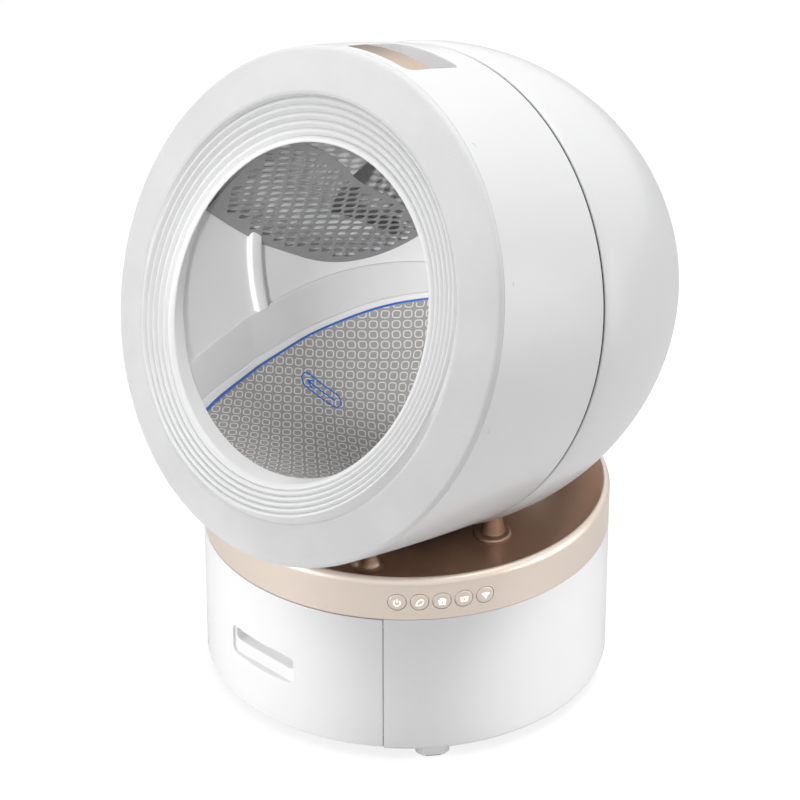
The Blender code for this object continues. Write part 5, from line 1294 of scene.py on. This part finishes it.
def makeLining():
    look = matLook
    bank = wallBand("bank_strip", [
        (look["bankTop"], look["under"], 0), (look["bankTop"], look["bank"], 0.0022),
        (look["frameTop"] + 0.0003, look["bank"], 0.0006), (look["frameTop"] + 0.0003, look["under"], 0),
    ])
    dress(bank, "bankGrey", "drum", "middle_grey", "litter_bank", matrix=drum)
    border = wallBand("mat_border", [
        (look["frameTop"], look["under"], 0), (look["frameTop"], look["border"], 0.0016),
        (look["level"] + 0.0012, look["border"], 0.0008), (look["level"] + 0.0012, look["under"], 0),
    ])
    dress(border, "lightGrey", "drum", "light_grey", "mat_frame", matrix=drum)
    line = wallBand("blue_edge", [
        (look["level"] + 0.0011, look["under"], 0), (look["level"] + 0.0011, look["border"] - 0.0003, 0.0003),
        (look["level"] - 0.0009, look["border"] - 0.0003, 0.0003), (look["level"] - 0.0009, look["under"], 0),
    ])
    dress(line, "printBlue", "drum", "light_grey", matrix=drum)


def makeMat():
    look = matLook
    center = Vector((0, 0, -0.02))
    bottom = Vector((0, -1, -0.45))
    columns, arcSteps, rows = 160, 60, 48
    bm = bmesh.new()
    layers = []
    for inset in (look["mat"], look["under"]):
        level = look["level"] - 0.0009
        end = levelEnd(level, inset)
        loop = [levelPoint(level, (2 * column / columns - 1) * end, inset) for column in range(columns + 1)]
        first, last = loop[-1], loop[0]
        start = math.atan2(first.x, first.y)
        stop = math.atan2(last.x, last.y)
        if start < 0:
            start += math.tau
        if stop < 0:
            stop += math.tau
        for index in range(1, arcSteps):
            angle = start + (stop - start) * index / arcSteps
            radius = drumRadius(first.z, inset)
            loop.append(Vector((radius * math.sin(angle), radius * math.cos(angle), first.z)))
        rings = [[bm.verts.new(spot) for spot in loop]]
        middle = bottom.normalized()
        for row in range(1, rows):
            share = row / rows
            ring = []
            for spot in loop:
                way = ((spot - center).normalized().lerp(middle, share)).normalized()
                ring.append(bm.verts.new(toWall(center, way, inset)))
            rings.append(ring)
        joinRings(bm, rings, closed=False)
        tip = bm.verts.new(toWall(center, middle, inset))
        for column in range(len(loop)):
            bm.faces.new((rings[-1][column], rings[-1][(column + 1) % len(loop)], tip))
        layers.append(rings[0])
    joinRings(bm, layers, closed=False)
    mat = pieceFrom("mat_sheet", bm)
    dress(mat, "matGrey", "drum", "mat_grey", "litter_mat", matrix=drum)


loopLook = dict(pitch=0.0115, size=0.80, line=0.105, corner=0.27, thick=0.00025, inset=0.0064)
loopColumns = (0.133, 0.118, 0.103, 0.088, 0.073, 0.058, 0.043, 0.0285, 0.0140, -0.0010, -0.0160, -0.0310,
               -0.0473, -0.0627, -0.0768, -0.0907, -0.1042, -0.1169, -0.1288, -0.1399, -0.1500, -0.1591,
               -0.1672, -0.1744, -0.1806, -0.1860, -0.1905, -0.1943)
loopRows = (-8, 20)


def patternPoint(column, row, side):
    # where a place of the woven pattern lies in the drum, with how far it is inside the mat
    low = min(int(column), len(loopColumns) - 2)
    start = loopColumns[low] + (loopColumns[low + 1] - loopColumns[low]) * (column - low)
    step = math.degrees(loopLook["pitch"] / max(drumRadius(start, loopLook["inset"]), 0.05))
    turn = 115 + row * step
    lower = max(turn - 120, 0)
    reach = start + (0.00079 * lower + 0.0000243 * lower * lower) * (1 + 3.36 * (start + 0.031))
    radius = drumRadius(reach, loopLook["inset"])
    angle = math.radians(turn)
    spot = Vector((-side * radius * math.sin(angle), radius * math.cos(angle), reach))
    where = drum @ spot
    lift = edgeLift(matLook["level"], math.atan2(where.x, where.y + 0.060))
    inside = min(matLook["level"] + lift - 0.0012 - where.z, 0.1585 - reach,
                 math.radians(179.6 - turn) * 0.19)
    return spot, inside


def patternSurface(side):
    bm = bmesh.new()
    flat = bm.verts.layers.float_vector.new("flat")
    inside = bm.verts.layers.float.new("inside")
    fine = 3
    rings = []
    for row in range(loopRows[0] * fine, loopRows[1] * fine + 1):
        ring = []
        for column in range((len(loopColumns) - 1) * fine + 1):
            spot, depth = patternPoint(column / fine, row / fine, side)
            vert = bm.verts.new(spot)
            vert[flat] = (column / fine, row / fine, 0)
            vert[inside] = depth
            ring.append(vert)
        rings.append(ring)
    joinRings(bm, rings, around=False, closed=False)
    for face in bm.faces:
        face.normal_update()
        middle = face.calc_center_median()
        if face.normal.dot(Vector((middle.x, middle.y, 0))) > 0:
            face.normal_flip()
    return pieceFrom("mat_loops_left" if side > 0 else "mat_loops_right", bm, turn=False)


def loopTree():
    # a flat field of rounded loops, laid on the surface that comes in by its "flat" places
    tree, into, out = pieceTree("matLoops", {
        "Columns": 10, "Rows": 10, "First Row": 0.0, "Loop Size": 0.8, "Line Width": 0.1, "Corner": 0.3,
        "Thickness": 0.0003,
    })
    wide = addMath(tree, "SUBTRACT", into["Columns"], 1.0)
    tall = addMath(tree, "SUBTRACT", into["Rows"], 1.0)
    field = addNode(tree, "GeometryNodeMeshGrid", {
        "Size X": wide, "Size Y": tall, "Vertices X": into["Columns"], "Vertices Y": into["Rows"],
    })
    halfTall = addMath(tree, "ADD", addMath(tree, "MULTIPLY", tall, 0.5), into["First Row"])
    corner = addNode(tree, "ShaderNodeCombineXYZ", {0: addMath(tree, "MULTIPLY", wide, 0.5), 1: halfTall})
    placed = addNode(tree, "GeometryNodeSetPosition", {
        "Geometry": field.outputs[0], "Offset": corner.outputs[0],
    })
    outlines = []
    for shrink in (0.0, 2.0):
        narrower = addMath(tree, "MULTIPLY", into["Line Width"], shrink)
        size = addMath(tree, "SUBTRACT", into["Loop Size"], narrower)
        sharper = addMath(tree, "MULTIPLY", into["Line Width"], shrink / 2)
        outlines.append(roundedBox(tree, size, size, addMath(tree, "SUBTRACT", into["Corner"], sharper), 3))
    ring = addNode(tree, "GeometryNodeFillCurve", {"Curve": joined(tree, *outlines)})
    real = onPoints(tree, placed.outputs[0], ring.outputs[0])
    flat = attribute(tree, "flat", "FLOAT_VECTOR")
    here = addNode(tree, "GeometryNodeInputPosition").outputs[0]

    def sampled(value, kind):
        return addNode(tree, "GeometryNodeSampleUVSurface", {
            "Mesh": into["Geometry"], "Value": value, "UV Map": flat, "Sample UV": here,
        }, data_type=kind).outputs[0]

    def stored(geometry, name, value, kind):
        return addNode(tree, "GeometryNodeStoreNamedAttribute", {
            "Geometry": geometry, "Name": name, "Value": sampled(value, kind),
        }, data_type=kind, domain="POINT").outputs[0]

    normal = addNode(tree, "GeometryNodeInputNormal").outputs[0]
    kept = stored(real, "kept", attribute(tree, "inside"), "FLOAT")
    facing = stored(kept, "facing", normal, "FLOAT_VECTOR")
    bent = addNode(tree, "GeometryNodeSetPosition", {
        "Geometry": facing, "Position": sampled(here, "FLOAT_VECTOR"),
    })
    outside = addNode(tree, "FunctionNodeCompare", {0: attribute(tree, "kept"), 1: 0.00002},
                      data_type="FLOAT", operation="LESS_THAN")
    trimmed = addNode(tree, "GeometryNodeDeleteGeometry", {
        "Geometry": bent.outputs[0], "Selection": outside.outputs[0],
    }, domain="POINT")
    raised = addNode(tree, "GeometryNodeExtrudeMesh", {
        "Mesh": trimmed.outputs[0], "Offset": attribute(tree, "facing", "FLOAT_VECTOR"),
        "Offset Scale": into["Thickness"], "Individual": False,
    })
    return endTree(tree, raised.outputs[0], into, out)


def makeMatLoops():
    look = loopLook
    tree = loopTree()
    for side in (1, -1):
        surface = patternSurface(side)
        grow(surface, tree, {
            "Columns": len(loopColumns), "Rows": loopRows[1] - loopRows[0] + 1,
            "First Row": float(loopRows[0]), "Loop Size": look["size"], "Line Width": look["line"],
            "Corner": look["corner"],
            "Thickness": look["thick"], "Material": paints["matLine"],
        })
        print("mat loops:", side, len(surface.data.polygons))
        dress(surface, "matLine", "drum", "mat_grey", matrix=drum)


badgeLook = dict(center=(-0.1352, -0.1361, -0.0500), along=(0.0260, -0.0190, -0.0420), line=0.0014,
                 thick=0.0009, inset=0.0063, half=19.5, radius=9.5, step=2.0,
                 arrow=([(20, 0), (-20, 0)], [(-12, 5.5), (-20, 0), (-12, -5.5)]))


def makeBadge():
    # a plain arrow in a rounded frame, drawn in millimetres and printed on the mat
    look = badgeLook
    middle = Vector((0, 0, -0.02))
    center = toWall(middle, (Vector(look["center"]) - middle).normalized(), look["inset"] + 0.0003)
    out = Vector((center.x, center.y, 0)).normalized()
    along = Vector(look["along"]).normalized()
    along = (along - out * along.dot(out)).normalized()
    across = out.cross(along)
    half, radius = look["half"], look["radius"]
    frameLine = circlePoints(radius, 0, 180, (half, 0), 16) + circlePoints(radius, 180, 360, (-half, 0), 16)
    frameLine.append(frameLine[0])
    bm = bmesh.new()
    for stroke in [frameLine, *look["arrow"]]:
        dense = []
        for a, b in zip(stroke, stroke[1:]):
            pieces = max(1, int(math.dist(a, b) / look["step"]))
            dense += [Vector(a).lerp(Vector(b), index / pieces)[:] for index in range(pieces)]
        addStroke(bm, dense + [stroke[-1]], look["line"] / 2, 0.0, look["thick"])
    for vert in bm.verts:
        way = (center + along * vert.co.x + across * vert.co.y - middle).normalized()
        vert.co = toWall(middle, way, look["inset"] + vert.co.z)
    badge = pieceFrom("mat_badge", bm)
    dress(badge, "printBlue", "drum", "mat_grey", matrix=drum)


# Sieve across the drum's upper left
sieveLook = dict(origin=(-0.1195, 0.109, 0.010), normal=(-0.817, 0.572, -0.072),
                 edge=(-0.101, -0.266, -0.959), thick=0.0012, margin=0.0030,
                 slotLength=0.0140, slotWidth=0.0070,
                 rowWay=(0.0146, -0.0083), nextRow=(0.0077, 0.0067), firstSlot=(-0.1026, 0.0576))
sieveEdge = ((-0.30, 0.0), (-0.1126, 0.0), (-0.0749, -0.0045), (-0.038, -0.0028), (0.0054, 0.0025),
             (0.0415, 0.0005), (0.0717, -0.0031), (0.11, -0.003), (0.30, 0.0))


slotEnds = ((1, 0), (-1, 0), (0.6, 1), (-0.6, 1), (0.6, -1), (-0.6, -1))


def sievePlace():
    look = sieveLook
    normal = Vector(look["normal"]).normalized()
    along = Vector(look["edge"])
    along = (along - normal * along.dot(normal)).normalized()
    matrix = Matrix((along, normal.cross(along), normal)).transposed().to_4x4()
    matrix.translation = look["origin"]
    return matrix


def freeEdge(x):
    for (ax, ay), (bx, by) in zip(sieveEdge, sieveEdge[1:]):
        if x <= bx:
            share = (x - ax) / (bx - ax)
            share = share * share * (3 - 2 * share)
            return ay + (by - ay) * share
    return 0.0


def onSieve(place, x, y, margin):
    if y < freeEdge(x) + margin * 1.3 or (margin == 0 and y < freeEdge(x)):
        return False
    for level in (-0.0015, 0.0015):
        spot = place @ Vector((x, y, level))
        radius = math.hypot(spot.x, spot.y) + margin
        if spot.z > 0.158 - margin:
            if margin or spot.z > 0.1688 or radius > 0.1692:
                return False
        elif radius > drumRadius(spot.z, drumLook["wall"] + 0.0003 + margin * 0.3):
            return False
    return True


def sieveTree():
    # an outline and slot centres come in; a panel with its slots goes out
    tree, into, out = pieceTree("sievePanel", {
        "Slot Length": 0.014, "Slot Width": 0.007, "Slot Turn": 0.0, "Thickness": 0.003,
    })
    chosen = addNode(tree, "FunctionNodeCompare", {0: attribute(tree, "slot"), 1: 0.5},
                     data_type="FLOAT", operation="GREATER_THAN")
    split = addNode(tree, "GeometryNodeSeparateGeometry", {
        "Geometry": into["Geometry"], "Selection": chosen.outputs[0],
    }, domain="POINT")
    edge = addNode(tree, "GeometryNodeMeshToCurve", {"Mesh": split.outputs[1]})
    corner = addMath(tree, "MULTIPLY", into["Slot Width"], 0.497)
    pill = roundedBox(tree, into["Slot Length"], into["Slot Width"], corner, 5)
    turn = addNode(tree, "ShaderNodeCombineXYZ", {2: into["Slot Turn"]})
    slots = onPoints(tree, split.outputs[0], pill, Rotation=turn.outputs[0])
    sheet = addNode(tree, "GeometryNodeFillCurve", {"Curve": joined(tree, edge.outputs[0], slots)})
    raised = addNode(tree, "GeometryNodeExtrudeMesh", {
        "Mesh": sheet.outputs[0], "Offset Scale": into["Thickness"], "Individual": False,
    })
    back = addNode(tree, "GeometryNodeFlipFaces", {"Mesh": sheet.outputs[0]})
    solid = joined(tree, raised.outputs[0], back.outputs[0])
    merged = addNode(tree, "GeometryNodeMergeByDistance", {"Geometry": solid, "Distance": 0.000005})
    return endTree(tree, merged.outputs[0], into, out)


def makeSieve():
    look = sieveLook
    place = sievePlace()
    middle = Vector((0.01, 0.055))
    outline = []
    for index in range(420):
        angle = math.tau * index / 420
        way = Vector((math.cos(angle), math.sin(angle)))
        reach = lastHeld(0.0, 0.5, lambda far: onSieve(place, *(middle + way * far), 0), 30)
        outline.append(middle + way * reach)
    bm = bmesh.new()
    isSlot = bm.verts.layers.float.new("slot")
    verts = [bm.verts.new((spot.x, spot.y, -look["thick"] / 2)) for spot in outline]
    for first, second in zip(verts, verts[1:] + verts[:1]):
        bm.edges.new((first, second))
    rowWay, nextRow, start = (Vector(look[key]) for key in ("rowWay", "nextRow", "firstSlot"))
    half = rowWay.normalized() * (look["slotLength"] / 2)
    side = Vector((-half.y, half.x)).normalized() * (look["slotWidth"] / 2)
    count = 0
    for row in range(-30, 31):
        for column in range(-30, 31):
            spot = start + rowWay * column + nextRow * row
            if all(onSieve(place, *(spot + half * a + side * b), look["margin"]) for a, b in slotEnds):
                vert = bm.verts.new((spot.x, spot.y, -look["thick"] / 2))
                vert[isSlot] = 1.0
                count += 1
    panel = pieceFrom("sieve_panel", bm)
    grow(panel, sieveTree(), {
        "Slot Length": look["slotLength"], "Slot Width": look["slotWidth"],
        "Slot Turn": math.atan2(rowWay.y, rowWay.x), "Thickness": look["thick"],
        "Material": paints["sieveGrey"],
    })
    print("sieve:", count, "slots,", len(panel.data.polygons), "faces")
    dress(panel, "sieveGrey", "drum", "sieve_grey", "sieve", matrix=drum @ place)


# Round power inlet at the back
inletLook = dict(radius=0.0060, flange=0.0090, thick=0.0015, depth=0.014, bore=0.0040, boreDepth=0.010,
                 pin=0.0011, level=0.050)


def makeInlet():
    look = inletLook
    thick, radius, pin, bore, flange = (look[key] for key in ("thick", "radius", "pin", "bore", "flange"))
    pinTop, floor, back = thick - look["boreDepth"] / 3, thick - look["boreDepth"], thick - look["depth"]
    profile = soften([
        (0, pinTop, 0), (pin, pinTop, 0.0004), (pin, floor, 0.0001), (bore, floor, 0.0001),
        (bore, thick, 0.0005), (flange, thick, 0.0008), (flange, 0, 0.0001), (radius, 0, 0.0001),
        (radius, back, 0.0004), (0, back, 0),
    ], closed=False)
    inlet = turned("inlet_socket", profile, 64)
    turn = Matrix.Rotation(math.radians(-90), 4, "X")
    turn.translation = (0, baseLook["radius"] + baseLook["draft"] + 0.0003, look["level"])
    dress(inlet, "rubber", "housing", "rubber_black", "power_inlet", matrix=base @ turn)


# Screws under the base
screwLook = dict(radius=0.0042, height=0.0019, recess=0.0011, cross=0.0026, arm=0.0005, count=8, ring=0.205,
                 firstAngle=15.0, columnX=0.149, columnY=0.040, level=0.013)


def screwTree():
    # one head comes in; a ring of heads and four at the columns go out
    tree, into, out = pieceTree("screwField", {
        "Count": 8, "Ring Radius": 0.2, "First Angle": 0.0, "Column X": 0.15, "Column Y": 0.04,
    })
    ring = addNode(tree, "GeometryNodeMeshCircle", {"Vertices": into["Count"], "Radius": into["Ring Radius"]})
    turn = addNode(tree, "ShaderNodeCombineXYZ", {2: into["First Angle"]})
    turnedRing = addNode(tree, "GeometryNodeTransform", {
        "Geometry": ring.outputs[0], "Rotation": turn.outputs[0],
    })
    columns = addNode(tree, "GeometryNodeMeshGrid", {
        "Size X": addMath(tree, "MULTIPLY", into["Column X"], 2.0),
        "Size Y": addMath(tree, "MULTIPLY", into["Column Y"], 2.0), "Vertices X": 2, "Vertices Y": 2,
    })
    places = joined(tree, turnedRing.outputs[0], columns.outputs[0])
    return endTree(tree, onPoints(tree, places, into["Geometry"]), into, out)


def makeScrews():
    look = screwLook
    radius, height = look["radius"], look["height"]
    heads = turned("chassis_screws", soften([
        (0, 0, 0), (radius, 0, 0.0002), (radius, -height * 0.45, 0.0006),
        (radius * 0.72, -height, 0.0008), (0, -height, 0),
    ], closed=False), 32)
    half, arm = look["cross"], look["arm"]
    cross = [(half, -arm), (half, arm), (arm, arm), (arm, half), (-arm, half), (-arm, arm),
             (-half, arm), (-half, -arm), (-arm, -arm), (-arm, -half), (arm, -half), (arm, -arm)]
    carve(heads, plate("screwCross", [cross], -height - 0.001, -height + look["recess"]))
    grow(heads, screwTree(), {
        "Count": look["count"], "Ring Radius": look["ring"], "First Angle": math.radians(look["firstAngle"]),
        "Column X": look["columnX"], "Column Y": look["columnY"], "Material": paints["steel"],
    })
    dress(heads, "steel", "housing", "steel", matrix=base @ Matrix.Translation((0, 0, look["level"])))


# The pieces that keep their own shape get these finishes
nodePaints = {
    "darkPlastic": ["chassis_plate", "waste_bin", "waste_chute", "gearbox", "roller_bracket_left",
                    "roller_bracket_right"],
    "rubber": ["foot_pad_1", "foot_pad_2", "foot_pad_3", "foot_pad_4", "chute_seal", "roller_left",
               "roller_right"],
    "steel": ["runner_left", "runner_right", "roller_axle_left", "roller_axle_right", "hub_shaft",
              "motor_bracket", "drive_motor"],
    "nylon": ["drum_gear", "pinion"],
    "bronze": ["hub_bearing"],
    "boardGreen": ["button_board", "main_board"],
    "lightGrey": ["drawer_tray", "bag_frame"],
}


def paintNodes():
    for paint, names in nodePaints.items():
        for name in names:
            nodes[name].data.materials.clear()
            nodes[name].data.materials.append(paints[paint])


makeSkirt()
makeDrawerFront()
makeFeet()
print("base made")
makeDeck()
makeButtons()
makePosts()
print("deck made")
makeDome()
makeDomeBosses()
makeMiddleRing()
makeGripStrip()
makeFrontCover()
makeEntranceRing()
print("globe made")
makeDrumShell()
makeWallRib()
makeLining()
makeMat()
makeMatLoops()
makeBadge()
makeSieve()
print("drum made")
makeInlet()
makeScrews()
paintNodes()


# Camera, light and floor
boxLook = {
    "keyBox": dict(spot=(-1.20, -1.35, 0.95), size=1.3, size_y=1.6, energy=8.4),
    "lowBox": dict(spot=(-0.45, -1.65, 0.34), size=0.9, size_y=0.6, energy=3.4),
    "sideBox": dict(spot=(1.45, 1.05, 0.42), size=0.9, size_y=0.8, energy=3.7),
    "topBox": dict(spot=(0.15, 0.10, 2.30), size=2.0, size_y=2.0, energy=29.0),
}
beamLook = {
    "drumBeam": dict(spot=(0.60, -1.50, 0.95), aim=(-0.08, -0.02, 0.42), width=12.4, blend=0.4, energy=88.0),
    "drawerBeam": dict(spot=(-0.35, -2.0, 0.45), aim=(-0.02, -0.24, 0.06), width=12, blend=0.8, energy=40.0),
    "skirtBeam": dict(spot=(1.95, 0.30, 0.40), aim=(0.20, 0.00, 0.06), width=12.0, blend=0.8, energy=44.0),
}
studioLook = dict(world=0.39, seen=1.0, floorGlow=1.35, glowShare=0.6, floorRadius=6.0,
                  beamSource=0.03, aim=(0, 0, 0.36))


def placeAimed(name, data, spot, way):
    holder = bpy.data.objects.new(name, data)
    bpy.context.scene.collection.objects.link(holder)
    holder.location = spot
    holder.rotation_mode = "QUATERNION"
    holder.rotation_quaternion = Vector(way).to_track_quat("-Z", "Y")
    return holder


def makeCamera():
    camera = bpy.data.cameras.new("camera")
    camera.lens = 135
    camera.sensor_width = 36
    camera.clip_end = 100
    bpy.context.scene.camera = placeAimed("camera", camera, (1.985, -2.026, 1.856), (-0.620, 0.620, -0.4812))


def makeLamp(name, kind, spot, aim, **values):
    lamp = bpy.data.lights.new(name, kind)
    for key, value in values.items():
        setattr(lamp, key, value)
    placeAimed(name, lamp, spot, Vector(aim) - Vector(spot))


def makeWorld():
    world = bpy.data.worlds.new("studio")
    bpy.context.scene.world = world
    world.use_nodes = True
    tree = world.node_tree
    plain = tree.nodes["Background"]
    plain.inputs["Color"].default_value = (1, 1, 1, 1)
    plain.inputs["Strength"].default_value = studioLook["world"]
    seen = addNode(tree, "ShaderNodeBackground", {"Color": (1, 1, 1, 1), "Strength": studioLook["seen"]})
    rays = addNode(tree, "ShaderNodeLightPath").outputs
    anyRay = addMath(tree, "MAXIMUM", addMath(tree, "MAXIMUM", rays["Is Camera Ray"], rays["Is Glossy Ray"]),
                     rays["Is Transmission Ray"])
    both = addNode(tree, "ShaderNodeMixShader", {0: anyRay, 1: plain.outputs[0], 2: seen.outputs[0]})
    tree.links.new(both.outputs[0], tree.nodes["World Output"].inputs["Surface"])


def makeFloor():
    look = studioLook
    bm = bmesh.new()
    bmesh.ops.create_circle(bm, cap_ends=True, segments=96, radius=look["floorRadius"])
    floor = pieceFrom("studioFloor", bm)
    floor.location = (0, 0, -0.0002)
    material, tree, shader, place = newMaterial("studioFloor")
    grain = addNode(tree, "ShaderNodeTexNoise", {"Vector": place, "Scale": 60.0})
    tint = mixColors(tree, grain.outputs["Fac"], (0.82, 0.82, 0.82), (0.86, 0.86, 0.86))
    tree.links.new(tint, shader.inputs["Base Color"])
    shader.inputs["Roughness"].default_value = 0.9
    glow = addNode(tree, "ShaderNodeEmission", {"Color": (1, 1, 1, 1), "Strength": look["floorGlow"]})
    seenRay = addMath(tree, "MULTIPLY", addNode(tree, "ShaderNodeLightPath").outputs["Is Camera Ray"],
                      look["glowShare"])
    mixed = addNode(tree, "ShaderNodeMixShader", {0: seenRay, 1: shader.outputs[0], 2: glow.outputs[0]})
    tree.links.new(mixed.outputs[0], tree.nodes["Material Output"].inputs["Surface"])
    floor.data.materials.append(material)


makeCamera()
for lampName, box in boxLook.items():
    makeLamp(lampName, "AREA", aim=studioLook["aim"], shape="RECTANGLE", **box)
for lampName, beam in beamLook.items():
    makeLamp(lampName, "SPOT", beam["spot"], beam["aim"], energy=beam["energy"], spot_blend=beam["blend"],
             spot_size=math.radians(beam["width"]), shadow_soft_size=studioLook["beamSource"])
makeWorld()
makeFloor()
bpy.context.scene.view_settings.view_transform = "Standard"
